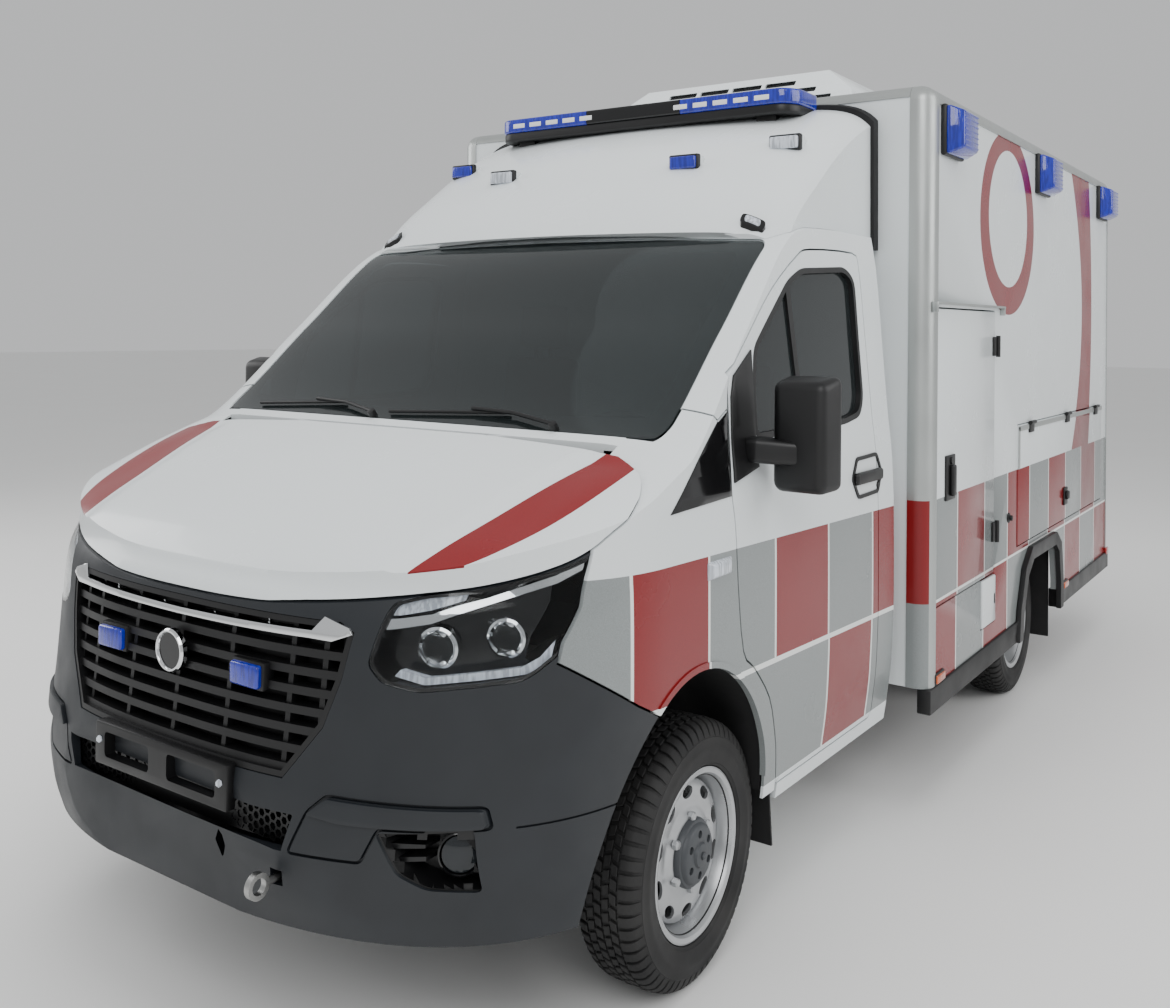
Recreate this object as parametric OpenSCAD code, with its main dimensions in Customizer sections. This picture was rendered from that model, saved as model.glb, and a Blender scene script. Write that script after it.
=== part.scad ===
// Ambulance: chassis cab with a square patient box, hinged doors, lids and steered wheels.
// Millimetres. The vehicle faces -Y, its left side is +X, the ground is Z = 0.
// Modules work in stations: X across, Y behind the front axle, Z above the ground.

/* [Overall] */
// Distance between the front and the rear axle
wheelbase = 3145; // [2900:5:3800]
// Tow eye to front axle
front_overhang = 1050; // [1000:5:1200]
// Rear axle to the back of the rear step
rear_overhang = 1805; // [1500:5:2200]

/* [Cab] */
// Width of the cab at its widest
cab_width = 2068; // [1980:2:2160]
// Back wall of the cab, behind the front axle
cab_rear = 1300; // [1280:5:1330]
// Foremost point of the bumper, ahead of the front axle
nose_reach = 1000; // [960:5:1030]
// Underside of the cab and its sills
cab_bottom = 390; // [370:5:410]
// Start of the curve that rounds the nose, ahead of the front axle
nose_start = 250; // [230:5:280]
// Fore and aft lag of the windscreen and bonnet at their sides, per square metre
plan_lag = 70; // [40:5:90]
// Thickness of the bonnet and wing panels
panel_thickness = 8; // [6:1:14]
// Thickness of the cab walls and pillars
cab_wall = 34; // [28:1:44]
// Thickness of the cab doors
cab_door_thickness = 46; // [36:1:56]
// Gap around every door, lid and panel
shut_gap = 6; // [5:0.5:9]
// Thickness of the glass
glass_thickness = 5; // [4:1:8]

/* [Front] */
// Half width of the grille at its top
grille_top_half = 530; // [500:5:540]
// Half width of the grille at its foot
grille_foot_half = 400; // [370:5:420]
// Top edge of the grille
grille_top = 1072; // [1060:2:1080]
// Bottom edge of the grille
grille_foot = 712; // [690:2:730]
// Number of grille slats
slat_count = 7; // [5:1:9]
// Outer radius of the tow eye
tow_eye_radius = 30; // [24:1:36]
// Bore radius of the tow eye
tow_eye_bore = 19; // [12:1:21]

/* [Wheels] */
// Radius of the tyres on the ground
tyre_radius = 348; // [320:1:360]
// Width of one tyre
tyre_width = 195; // [175:1:205]
// Radius of the rim flange
rim_radius = 222; // [205:1:230]
// Front wheel centre from the vehicle's middle
front_track_half = 875; // [860:1:885]
// Outer rear wheel centre from the vehicle's middle
rear_track_half = 905; // [890:1:920]
// Distance between the twin rear wheels
twin_spacing = 235; // [225:1:250]
// Steering axis from the vehicle's middle
kingpin_x = 830; // [822:1:840]
// Radius of the wheel spindles
spindle_radius = 24; // [20:1:28]
// Radius of the kingpins
kingpin_radius = 18; // [15:1:22]
// Radial clearance of the running fits
running_clearance = 0.05; // [0.02:0.01:0.10]
// Half length of the front wheel arch opening
arch_half_length = 430; // [415:1:440]
// Top of the front wheel arch opening
arch_top = 870; // [850:2:885]

/* [Box] */
// Width of the patient box
box_width = 2212; // [2120:2:2300]
// Front wall of the box, behind the front axle
box_front = 1455; // [1450:5:1480]
// Rear axle to the back wall of the box
box_rear_overhang = 1671; // [1400:5:1700]
// Top of the box roof
box_top = 2648; // [2600:2:2900]
// Top of the box floor
box_floor_top = 730; // [715:1:745]
// Bottom of the side panels
panel_bottom = 448; // [430:2:470]
// Bottom of the rubber skirt
skirt_bottom = 357; // [340:1:375]
// Thickness of the box walls and roof
box_wall = 46; // [38:1:52]

/* [Box openings] */
// Front edge of the tall locker door
locker_front = 1505; // [1500:1:1515]
// Length of the tall locker door
locker_length = 808; // [700:2:820]
// Bottom of the tall locker door
locker_bottom = 734; // [732:2:760]
// Height of the tall locker door
locker_height = 1098; // [900:2:1150]
// Front edge of the long flap, ahead of the rear axle
flap_lead = 435; // [400:5:450]
// Length of the long flap
flap_length = 1900; // [1700:5:1950]
// Bottom of the long flap
flap_bottom = 786; // [780:2:800]
// Height of the long flap
flap_height = 540; // [480:2:560]
// Depth of the lockers inside the box
locker_depth = 420; // [300:5:480]
// Front edge of the patient door on the right side
side_door_front = 1560; // [1540:5:1600]
// Length of the patient door
side_door_length = 760; // [700:5:800]
// Height of the patient door
side_door_height = 1640; // [1500:5:1700]
// Width of the rear doorway
rear_doorway = 1500; // [1300:10:1600]
// Height of the rear doorway
rear_door_height = 1640; // [1500:5:1700]

/* [Roof] */
// Length of the light bar
light_bar_length = 1390; // [1200:5:1500]
// Width of the roof cooling unit
roof_unit_width = 1240; // [1000:5:1400]
// Height of the roof cooling unit
roof_unit_height = 246; // [180:2:280]

/* [Hidden] */
$fn = 48;

white = [0.93, 0.94, 0.94];
dark_grey = [0.17, 0.19, 0.21];
black = [0.04, 0.04, 0.045];
steel = [0.62, 0.63, 0.64];
blue = [0.05, 0.1, 0.6];
glass = [0.1, 0.12, 0.13];

total_length = front_overhang + wheelbase + rear_overhang;
front_axle_y = front_overhang - total_length / 2;
cab_half = cab_width / 2;
box_half = box_width / 2;
box_rear = wheelbase + box_rear_overhang;
half_gap = shut_gap / 2;
far = 3000;

// ---------- helpers ----------

module row() {
    translate([0, front_axle_y, 0]) children();
}

// Keeps curved panels as one mesh
module meshed() {
    resize([0, 0, 0]) children();
}

module both_sides() {
    children();
    mirror([1, 0, 0]) children();
}

// Prism seen from the side: points are [station, height]
module side_prism(points, from_x = -far, to_x = far) {
    translate([from_x, 0, 0]) rotate([90, 0, 90])
        linear_extrude(to_x - from_x) polygon(points);
}

module side_prism_grown(points, grow, from_x = -far, to_x = far) {
    translate([from_x, 0, 0]) rotate([90, 0, 90])
        linear_extrude(to_x - from_x) offset(delta = grow) polygon(points);
}

// Prism seen from the front: points are [across, height]
module front_prism(points, from_y, to_y, grow = 0) {
    translate([0, to_y, 0]) rotate([90, 0, 0])
        linear_extrude(to_y - from_y) offset(delta = grow) polygon(points);
}

// Block between two corners
module block(low, high) {
    translate(low) cube(high - low);
}

// Block with rounded vertical, lengthwise or crosswise edges
module soft_block(low, high, r) {
    size = high - low;
    translate(low) hull()
        for (x = [r, size[0] - r], y = [r, size[1] - r], z = [r, size[2] - r])
            translate([x, y, z]) sphere(r, $fn = 12);
}

// Cylinder along X between two stations
module bar_x(x0, x1, r) {
    translate([x0, 0, 0]) rotate([0, 90, 0]) cylinder(h = x1 - x0, r = r);
}

module bar_y(y0, y1, r) {
    translate([0, y0, 0]) rotate([-90, 0, 0]) cylinder(h = y1 - y0, r = r);
}

// Closed skin from rings of equal length
module ring_loft(rings) {
    n = len(rings[0]);
    m = len(rings);
    sides = [for (i = [0:m - 2], j = [0:n - 1])
        [i * n + j, i * n + (j + 1) % n, (i + 1) * n + (j + 1) % n, (i + 1) * n + j]];
    polyhedron(
        points = [for (ring = rings) each ring],
        faces = concat(
            [[for (j = [n - 1:-1:0]) j]],
            [for (f = sides) each [[f[0], f[1], f[2]], [f[0], f[2], f[3]]]],
            [[for (j = [0:n - 1]) (m - 1) * n + j]]),
        convexity = 6);
}

// ---------- cab skin ----------

// Inset of the side from the widest point, by height
side_inset = [[370, 34], [450, 22], [600, 6], [800, 0], [1100, 2], [1300, 10],
    [1450, 26], [1700, 49], [1950, 72], [2030, 84], [2140, 104]];
// Narrowing of the cab towards the front per metre, by height
side_taper = [[1250, 12], [1450, 20], [2030, 55], [2140, 60]];
// Set-back of the nose from its foremost point, by height
nose_back = [[370, 35], [450, 10], [550, 0], [660, 10], [750, 25], [930, 45],
    [1050, 60], [1100, 75], [1160, 112], [1300, 114]];
// Height of the bonnet, windscreen and roof along the middle, by station
top_line = [[-1040, 930], [-950, 1060], [-925, 1105], [-900, 1145], [-860, 1180],
    [-750, 1236], [-600, 1296], [-400, 1374], [-250, 1424], [-185, 1445],
    [-150, 1462], [215, 1754], [580, 2046], [640, 2075], [760, 2098],
    [1000, 2106], [1400, 2106]];
skin_levels = [370, 450, 550, 660, 800, 930, 1050, 1100, 1160, 1300, 1450, 1700,
    1950, 2030, 2140];
nose_steps = 13;
nose_across = 2.6;
nose_along = 2.4;

function side_half(y, z) =
    cab_half - lookup(z, side_inset) - lookup(z, side_taper) * max(0, cab_rear - y) / 1000;

function nose_point(z, a, inset) =
    let (half = side_half(-nose_start, z) - inset)
    let (reach = nose_reach - lookup(z, nose_back) - nose_start - inset)
    [half * pow(cos(a), 2 / nose_across),
     -nose_start - reach * pow(sin(a), 2 / nose_along), z];

function skin_ring(z, inset) =
    let (rear = cab_rear - inset)
    let (right = [for (i = [0:nose_steps]) nose_point(z, 90 * i / nose_steps, inset)])
    concat(
        [[side_half(cab_rear, z) - inset, rear, z]],
        right,
        [for (i = [nose_steps - 1:-1:0]) [-right[i][0], right[i][1], z]],
        [[-side_half(cab_rear, z) + inset, rear, z]]);

function crown_drop(x) =
    let (s = abs(x) / 1050) 10 * s * s + 90 * pow(s, 16);

crown_stations = [1100, 1020, 960, 880, 780, 620, 400, 0, -400, -620, -780, -880,
    -960, -1020, -1100];

function crown_row(y, inset) = concat(
    [for (x = crown_stations)
        [x, y + plan_lag * x * x / 1000000, lookup(y, top_line) - crown_drop(x) - inset]],
    [[-1100, y + plan_lag * 1.21, 200], [1100, y + plan_lag * 1.21, 200]]);

// Solid inside the cab's front, sides and back, shrunk by an inset
module cab_sides(inset) {
    ring_loft([for (z = skin_levels) skin_ring(z + (z == 370 ? inset : 0), inset)]);
}

// Solid inside the cab's outer surface, shrunk by an inset
module cab_skin(inset) {
    intersection() {
        cab_sides(inset);
        ring_loft([for (p = top_line) crown_row(p[0], inset)]);
    }
}

module skin_layer(outer, inner) {
    difference() {
        cab_skin(outer);
        cab_skin(inner);
    }
}

// ---------- cab outlines ----------

bonnet_line = [[-990, 1080], [-929, 1087], [-890, 1107], [-825, 1130], [-712, 1163],
    [-589, 1205], [-521, 1236], [-462, 1272], [-343, 1332], [-280, 1367], [-200, 1412]];
lamp_rear_line = [[-521, 1236], [-526, 1207], [-555, 1111], [-600, 1035], [-612, 989]];
bumper_seam = [[-612, 989], [-525, 934], [-391, 852], [-294, 802], [-200, 760]];
door_front_line = [[402, 415], [382, 498], [355, 581], [306, 699], [206, 806],
    [139, 866], [106, 1055], [95, 1214], [83, 1313], [100, 1440], [133, 1565]];
door_top_line = [[160, 1625], [293, 1725], [480, 1868], [680, 1980], [790, 2010],
    [1110, 2016], [1150, 1985]];
window_line = [[272, 1442], [290, 1560], [330, 1690], [600, 1895], [700, 1936],
    [1030, 1955], [1092, 1920], [1078, 1520], [1040, 1466], [910, 1448]];
door_bottom = 418;
door_rear = 1150;
door_front = 83;
door_outline = concat(door_front_line, door_top_line,
    [[door_rear, door_bottom], [402, door_bottom]]);
windscreen_outline = [[-872, 1452], [-600, 1436], [0, 1430], [600, 1436], [872, 1452],
    [884, 1480], [858, 2012], [838, 2032], [500, 2046], [0, 2052], [-500, 2046],
    [-838, 2032], [-858, 2012], [-884, 1480]];
lamp_outline = [[586, 985], [604, 1057], [622, 1122], [682, 1141], [795, 1157],
    [914, 1196], [953, 1224], [1000, 1240], [1000, 1111], [950, 1035], [905, 977],
    [881, 956], [700, 932], [620, 948]];
grille_outline = [[-grille_top_half + 16, grille_top], [grille_top_half - 16, grille_top],
    [grille_top_half + 20, grille_top - 20], [grille_top_half, 946], [494, 837],
    [grille_foot_half, grille_foot], [-grille_foot_half, grille_foot], [-494, 837],
    [-grille_top_half, 946], [-grille_top_half - 20, grille_top - 20]];
intake_outline = [[-440, 640], [440, 640], [415, 556], [-415, 556]];

// Everything ahead of the cowl and above the bonnet's shut line
module bonnet_zone(grow = 0) {
    intersection() {
        side_prism_grown(concat(bonnet_line, [[-60, 1640], [-1100, 1640]]), grow);
        cowl_prism(-far, -192 + grow);
    }
}

// Vertical prism between two lagging stations
module cowl_prism(y0, y1) {
    steps = [-1100, -850, -550, 0, 550, 850, 1100];
    translate([0, 0, 300]) linear_extrude(2200) polygon(concat(
        [for (x = steps) [x, y0 + plan_lag * x * x / 1000000]],
        [for (i = [len(steps) - 1:-1:0])
            [steps[i], y1 + plan_lag * steps[i] * steps[i] / 1000000]]));
}

// Lamp, grille and bumper zone: ahead of the wing
module nose_zone(grow = 0) {
    side_prism_grown(concat(
        [[-1200, 1080]], [for (i = [1:6]) bonnet_line[i]], lamp_rear_line,
        [for (i = [1:4]) bumper_seam[i]], [[-200, 200], [-1200, 200]]), grow);
}

module front_arch(grow = 0) {
    translate([0, -105, tyre_radius])
        scale([1, (arch_half_length + grow) / 500, (arch_top - tyre_radius + grow) / 500])
        rotate([0, 90, 0]) cylinder(h = 2 * far, r = 500, center = true, $fn = 64);
    block([-far, -105 - arch_half_length - grow, 0],
        [far, -105 + arch_half_length + grow, tyre_radius]);
}

// ---------- running gear ----------

rail_x = 400;
rail_half = 32;
rail_bottom = 500;
rail_top = 640;
cab_floor_bottom = 650;

module chassis_frame() color(dark_grey) row() {
    both_sides()
        block([rail_x - rail_half, -760, rail_bottom],
            [rail_x + rail_half, box_rear - 120, rail_top]);
    for (y = [-760, -640, 700, 1400, wheelbase - 900, wheelbase + 700, box_rear - 220])
        block([-rail_x, y, rail_bottom + 20], [rail_x, y + 80, rail_top - 20]);
    // outriggers that carry the box, and the cab's mounts
    for (y = [1560, wheelbase - 500, wheelbase + 520, box_rear - 180])
        block([-box_half + 120, y, rail_top - 40], [box_half - 120, y + 50, box_floor_top - 46]);
    for (y = [520, 1140])
        both_sides() block([rail_x - 30, y, rail_top], [rail_x + 30, y + 60, cab_floor_bottom]);
}

module engine_block() color(steel) row() {
    block([-240, -540, 560], [240, 130, 1040]);
    block([-150, 130, 420], [150, 610, 700 - 56]);
    block([-rail_x + rail_half, -500, 562], [rail_x - rail_half, -440, 620]);
}

module axle_end_pin() {
    translate([kingpin_x, 0, tyre_radius - 62]) cylinder(h = 124, r = kingpin_radius);
}

module front_axle() color(dark_grey) row() {
    block([-rail_x - rail_half, -70, tyre_radius - 70], [rail_x + rail_half, 70, rail_bottom]);
    both_sides() {
        block([rail_x, -45, tyre_radius - 92], [kingpin_x, 45, tyre_radius - 56]);
        block([rail_x, -45, tyre_radius + 56], [kingpin_x, 45, tyre_radius + 92]);
        translate([kingpin_x, 0, tyre_radius - 92]) cylinder(h = 36, r = 45);
        translate([kingpin_x, 0, tyre_radius + 56]) cylinder(h = 36, r = 45);
        axle_end_pin();
    }
}

module knuckle() {
    difference() {
        union() {
            translate([kingpin_x, 0, tyre_radius - 50]) cylinder(h = 100, r = 42);
            translate([0, 0, tyre_radius]) bar_x(kingpin_x, front_track_half + 40, spindle_radius);
            translate([kingpin_x - 70, 20, tyre_radius - 45]) cube([60, 110, 25]);
        }
        translate([kingpin_x, 0, tyre_radius - 80])
            cylinder(h = 160, r = kingpin_radius + running_clearance);
    }
}

module knuckle_left() color(steel) row() knuckle();
module knuckle_right() color(steel) row() mirror([1, 0, 0]) knuckle();

module rear_axle() color(dark_grey) row() translate([0, wheelbase, tyre_radius]) {
    bar_x(-540, 540, axle_tube);
    bar_x(-rear_track_half - 30, rear_track_half + 30, spindle_radius + 6);
    bar_x(-60, 150, 150);
    bar_y(-250, 0, 55);
}

axle_tube = 58;
leaf = 14;
// the leaves clear the axle tube by a hair
spring_sag = rail_bottom - tyre_radius - axle_tube - 3 * leaf - 0.5;

function spring_height(t) = rail_bottom - spring_sag * (1 - t * t);

module leaf_springs() color(dark_grey) row() both_sides() {
    for (n = [0:2]) {
        reach = 600 - n * 150;
        side_prism(concat(
            [for (i = [-6:6]) [wheelbase + reach * i / 6,
                spring_height(i / 6 * reach / 600) - n * leaf]],
            [for (i = [6:-1:-6]) [wheelbase + reach * i / 6,
                spring_height(i / 6 * reach / 600) - (n + 1) * leaf - 0.2]]),
            rail_x - rail_half + 4, rail_x + rail_half + 10);
    }
    for (s = [-1, 1])
        block([rail_x - rail_half + 4, wheelbase + s * 595 - 25, rail_bottom - 34],
            [rail_x + rail_half + 10, wheelbase + s * 595 + 25, rail_bottom]);
}

module driveline() color(steel) row() {
    hull() {
        translate([0, 610, 470]) rotate([-90, 0, 0]) cylinder(h = 10, r = 38, $fn = 24);
        translate([0, wheelbase - 260, tyre_radius]) rotate([-90, 0, 0])
            cylinder(h = 10, r = 38, $fn = 24);
    }
}

module exhaust() color(steel) row() {
    translate([-250, 0, 420]) {
        bar_y(120, 1600, 28);
        bar_y(1600, 2300, 76);
        bar_y(2300, 2520, 28);
    }
    for (y = [1640, 2220])
        block([-rail_x - 20, y, 470], [-250, y + 30, rail_bottom]);
    block([-rail_x - 20, 400, 440], [-250, 430, rail_bottom]);
}

module fuel_tank() color(dark_grey) row() {
    block([480, 1900, 420], [900, 2560, 640]);
    for (y = [2000, 2400])
        block([rail_x + rail_half, y, 560], [500, y + 60, 600]);
    // filler neck up to its flap
    translate([870, 2238, 600]) rotate([0, 90, 0]) cylinder(h = box_half - 60 - 870, r = 34);
}

// ---------- cab ----------

module door_zone(grow) {
    side_prism_grown(door_outline, grow, cab_half - 184, far);
}

module cab_shell() color(white) row() meshed() {
    difference() {
        intersection() {
            skin_layer(0, cab_wall);
            union() {
                cowl_prism(-195 + shut_gap, far);
                block([-far, -150, 300], [far, far, 2300]);
            }
        }
        bonnet_zone(shut_gap);
        wing_zone(half_gap);
        nose_zone(half_gap);
        both_sides() door_zone(half_gap);
        front_arch(6);
        windscreen_hole(-22);
        // channel for the chassis and room for the steered wheels
        block([-510, -160, 300], [510, far, 649]);
        block([-far, -541, 300], [far, 416, 640]);
        intersection() {
            windscreen_hole(half_gap);
            difference() {
                cab_skin(-8);
                cab_skin(glass_thickness + 3);
            }
        }
    }
    cab_floor();
}

module windscreen_hole(grow) {
    intersection() {
        front_prism(windscreen_outline, -320, 760, grow);
        cowl_prism(-150 - grow, far);
    }
}

module cab_floor() {
    difference() {
        intersection() {
            cab_skin(panel_thickness + 0.4);
            union() {
                // floor, toe board, firewall and scuttle
                side_prism([[cab_rear, 650], [470, 650], [180, 900], [180, 1240], [-150, 1300],
                    [-150, 1420], [-115, 1420], [-115, 1330], [215, 1268], [215, 918],
                    [488, 684], [cab_rear, 684]]);
            }
        }
        both_sides() door_zone(half_gap);
        front_arch(6);
    }
}

module windscreen() color(glass) row() meshed()
    intersection() {
        skin_layer(2, 2 + glass_thickness + 0.7);
        windscreen_hole(-half_gap);
        block([-far, -260, 1300], [far, 760, 2300]);
    }

wing_outline = concat(
    [[-519, 1238]], [for (i = [7:10]) bonnet_line[i]],
    [[-150, 1440], [-60, 1530], [-20, 1560], [60, 1500]],
    [for (i = [9:-1:0]) door_front_line[i]],
    [[402, cab_bottom + 6], [260, cab_bottom + 6], [-200, 760]],
    [for (i = [3:-1:0]) bumper_seam[i]],
    [for (i = [3:-1:1]) lamp_rear_line[i]]);

module wing_zone(grow) {
    difference() {
        side_prism_grown(wing_outline, grow);
        block([-790, -200, 300], [790, 500, 2000]);
    }
}

module wings() color(white) row() meshed()
    difference() {
        intersection() {
            skin_layer(0, panel_thickness);
            wing_zone(-half_gap);
        }
        bonnet_zone(half_gap);
        front_arch(0);
        windscreen_hole(shut_gap);
    }

module bonnet() color(white) row() meshed()
    intersection() {
        skin_layer(0, panel_thickness);
        bonnet_zone(-half_gap);
    }

module headlamp_zone(grow) {
    both_sides() front_prism(lamp_outline, -1100, -430, grow);
}

module front_bumper() color(dark_grey) row() meshed() {
    difference() {
        intersection() {
            skin_layer(0, 26);
            nose_zone(-half_gap);
            block([-far, -1100, 300], [far, -150, 2000]);
        }
        headlamp_zone(0);
        front_prism(grille_outline, -1100, -700, 0);
        front_prism(intake_outline, -1100, -700, 0);
        front_arch(0);
        both_sides() fog_pocket(0);
        translate([398, 0, 492]) bar_y(-1100, -700, 11);
    }
    // mounts to the chassis
    both_sides() block([rail_x - 20, -985, 520], [rail_x + 20, -760, 545]);
    intersection() {
        cab_skin(12);
        union() {
            both_sides() block([560, -950, 640], [830, -640, 900]);
        }
    }
}

module fog_pocket(grow) {
    front_prism([[634, 628], [818, 640], [830, 500], [735, 508], [680, 540]], -1100, -600, grow);
}

module grille() color(black) row() meshed() {
    intersection() {
        skin_layer(14, 44);
        nose_zone(-4);
        difference() {
            union() {
                front_prism(grille_outline, -1100, -700, -0.5);
                front_prism(intake_outline, -1100, -700, -0.5);
            }
            for (i = [0:slat_count - 1]) {
                z = grille_foot + 22 + i * (grille_top - grille_foot - 60) / slat_count;
                block([-far, -1200, z], [far, -100, z + 22]);
            }
            for (i = [0:2])
                block([-far, -1200, 566 + i * 24], [far, -100, 576 + i * 24]);
        }
    }
    // carrier behind the slats
    intersection() {
        skin_layer(43, 60);
        union() {
            for (x = [-380, -190, 0, 190, 380])
                block([x - 12, -1200, 552], [x + 12, -100, grille_top - 6]);
            block([-430, -1200, 640], [430, -100, 716]);
        }
    }
    block([-300, -920, 690], [300, -760, 712]);
}

module headlamps() color(glass) row() meshed()
    intersection() {
        skin_layer(3, 70);
        headlamp_zone(-0.6);
        nose_zone(-half_gap - 1);
    }

module tow_eye() color(steel) row() {
    translate([398, -front_overhang + tow_eye_radius, 492]) {
        difference() {
            rotate([0, 90, 0]) cylinder(h = 16, r = tow_eye_radius, center = true);
            rotate([0, 90, 0]) cylinder(h = 40, r = tow_eye_bore, center = true);
        }
        difference() {
            bar_y(tow_eye_radius - 8, front_overhang - tow_eye_radius - 760.3, 9);
            rotate([0, 90, 0]) cylinder(h = 40, r = tow_eye_bore, center = true);
        }
    }
}

// ---------- cab doors ----------

hinge_x = cab_half - 8;

module cab_door_panel() {
    difference() {
        intersection() {
            cab_skin(0);
            door_zone(-half_gap);
        }
        cab_sides(cab_door_thickness);
        // bevel behind the leading edge lets it swing
        translate([0, 0, 300]) linear_extrude(1600)
            polygon([[hinge_x - 12, door_front - 30], [hinge_x - 12, door_front - 5],
                [hinge_x - 66, door_front + 62], [hinge_x - 260, door_front + 62],
                [hinge_x - 260, door_front - 30]]);
        side_prism(window_line, 400, far);
        // hollow inside the door
        intersection() {
            cab_sides(12);
            side_prism([[430, 480], [1080, 480], [1080, 1360], [260, 1360], [260, 980]], 400, far);
        }
    }
}

module cab_door_left() color(white) row() meshed() cab_door_panel();
module cab_door_right() color(white) row() mirror([1, 0, 0]) meshed() cab_door_panel();

module cab_glass() {
    intersection() {
        difference() {
            cab_sides(16);
            cab_sides(16 + glass_thickness);
        }
        side_prism_grown(window_line, -0.4, 400, far);
    }
}

module cab_glass_left() color(glass) row() meshed() cab_glass();
module cab_glass_right() color(glass) row() mirror([1, 0, 0]) meshed() cab_glass();

module mirror_body() {
    // sail plate on the door
    intersection() {
        skin_layer(-6, -0.3);
        side_prism([[100, 1330], [118, 1440], [146, 1560], [176, 1618], [300, 1690],
            [262, 1450], [255, 1360]], 400, far);
    }
    difference() {
        hull() {
            soft_block([cab_half - 46, 190, 1380], [cab_half + 10, 270, 1440], 12);
            soft_block([cab_half + 60, 250, 1370], [cab_half + 120, 320, 1430], 14);
        }
        cab_sides(-0.3);
    }
    hull() {
        soft_block([cab_half + 12, 236, 1292], [cab_half + 178, 300, 1610], 26);
        soft_block([cab_half + 22, 300, 1300], [cab_half + 186, 348, 1620], 20);
    }
}

module mirror_left() color(black) row() meshed() mirror_body();
module mirror_right() color(black) row() mirror([1, 0, 0]) meshed() mirror_body();

// ---------- cab interior ----------

module dashboard() color(dark_grey) row() meshed()
    intersection() {
        cab_skin(cab_wall + 2);
        side_prism([[-112, 1329.9], [-112, 1400], [120, 1405], [330, 1340], [395, 1240], [360, 1130],
            [250, 1060], [216, 1060], [216, 1268.3]]);
        difference() {
            block([-far, -300, 1000], [far, 500, 1500]);
            both_sides() door_zone(14);
        }
    }

module steering_wheel() color(black) row()
    translate([420, 545, 1290]) rotate([-62, 0, 0]) {
        rotate_extrude() translate([195, 0]) circle(15);
        cylinder(h = 26, r = 60, center = true);
        for (a = [0, 120, 240])
            rotate([0, 0, a + 90]) translate([40, -14, -8]) cube([146, 28, 14]);
        translate([0, 0, -230]) cylinder(h = 226, r = 22);
    }

module seat() {
    hull() {
        soft_block([-240, 640, 960], [240, 1110, 1060], 34);
        soft_block([-220, 660, 900], [220, 1100, 980], 34);
    }
    hull() {
        soft_block([-225, 1080, 1030], [225, 1150, 1090], 34);
        soft_block([-200, 1160, 1580], [200, 1225, 1640], 30);
    }
    soft_block([-120, 1165, 1650], [120, 1228, 1840], 30);
    block([-40, 1185, 1600], [40, 1200, 1700]);
    block([-200, 690, 684.3], [200, 1090, 980]);
}

module seats() color(dark_grey) row() meshed()
    for (x = [-430, 430]) translate([x, 0, 0]) seat();

// ---------- roof fairing and light bar ----------

fairing_line = [[560, 2070], [580, 2095], [620, 2140], [700, 2215], [850, 2322],
    [980, 2412], [1150, 2510], [1300, 2578], [1425, 2612], [1450, 2618.8]];
fairing_rear = 1425;

function fairing_half(z) = 960 - (z - 2100) * 0.11;

function fairing_row(p, inset) =
    let (w = fairing_half(p[1]) - (fairing_rear - p[0]) * 0.075 - inset)
    let (t = p[1] - inset)
    concat(
        [for (i = [0:16]) let (s = 1 - i / 8)
            [w * s, p[0] + 100 * w * w * s * s / 1000000,
             t - 12 * s * s - 70 * pow(abs(s), 14)]],
        [[-w - 4, p[0] + 100 * w * w / 1000000, 1990], [w + 4, p[0] + 100 * w * w / 1000000, 1990]]);

module fairing_solid(inset) {
    intersection() {
        ring_loft([for (p = fairing_line) fairing_row([p[0] + inset, p[1]], inset)]);
        block([-far, 400, 1990], [far, fairing_rear - inset, 2800]);
    }
}

module roof_fairing() color(white) row() meshed()
    difference() {
        fairing_solid(0);
        fairing_solid(14);
        cab_skin(-0.4);
    }

light_bar_y = 1300;
light_bar_z = 2606;

module light_bar() color(blue) row() meshed()
    difference() {
        union() {
            hull() for (s = [-1, 1], y = [-95, 95])
                translate([s * (light_bar_length / 2 - (y < 0 ? 80 : 40)), light_bar_y + y,
                    light_bar_z - 28])
                    cylinder(h = 62, r = 36, $fn = 20);
            for (s = [-1, 1])
                block([s * 560 - 40, light_bar_y - 90, 2480], [s * 560 + 40, light_bar_y + 100, light_bar_z]);
        }
        fairing_solid(-0.3);
    }

module warning_lamp(y, z, x, tilt) {
    translate([x, y, z]) rotate([tilt, 0, 0])
        soft_block([-66, -40, -26], [66, 60, 26], 10);
}

module warning_lamps() color(blue) row() meshed() {
    // fairing lamps, cut to sit on the fairing
    difference() {
        both_sides() {
            warning_lamp(1029, 2446, 734, -52);
            warning_lamp(887, 2342, 411, -52);
        }
        fairing_solid(-0.3);
    }
    // beacons standing on the grille
    intersection() {
        difference() {
            both_sides() soft_block([212, -980, 892], [322, -900, 956], 8);
            cab_skin(13.6);
        }
        block([-far, -985, 800], [far, -800, 1000]);
    }
}

// ---------- patient box ----------

arch_front_y = wheelbase - 420;
arch_rear_y = wheelbase + 362;
arch_roof_z = 704;
locker_rear = locker_front + locker_length;
flap_front = wheelbase - flap_lead;
flap_rear = flap_front + flap_length;
filler_front = 2141;
filler_length = 194;
filler_bottom = 528;
filler_height = 195;
doorway_bottom = box_floor_top + 2;

module rear_arch(grow) {
    side_prism_grown([[arch_front_y, 300], [arch_front_y + 30, 480], [arch_front_y + 110, 640],
        [arch_front_y + 210, arch_roof_z], [arch_rear_y - 110, arch_roof_z],
        [arch_rear_y - 40, 660], [arch_rear_y, 500], [arch_rear_y, 300]], grow);
}

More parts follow.
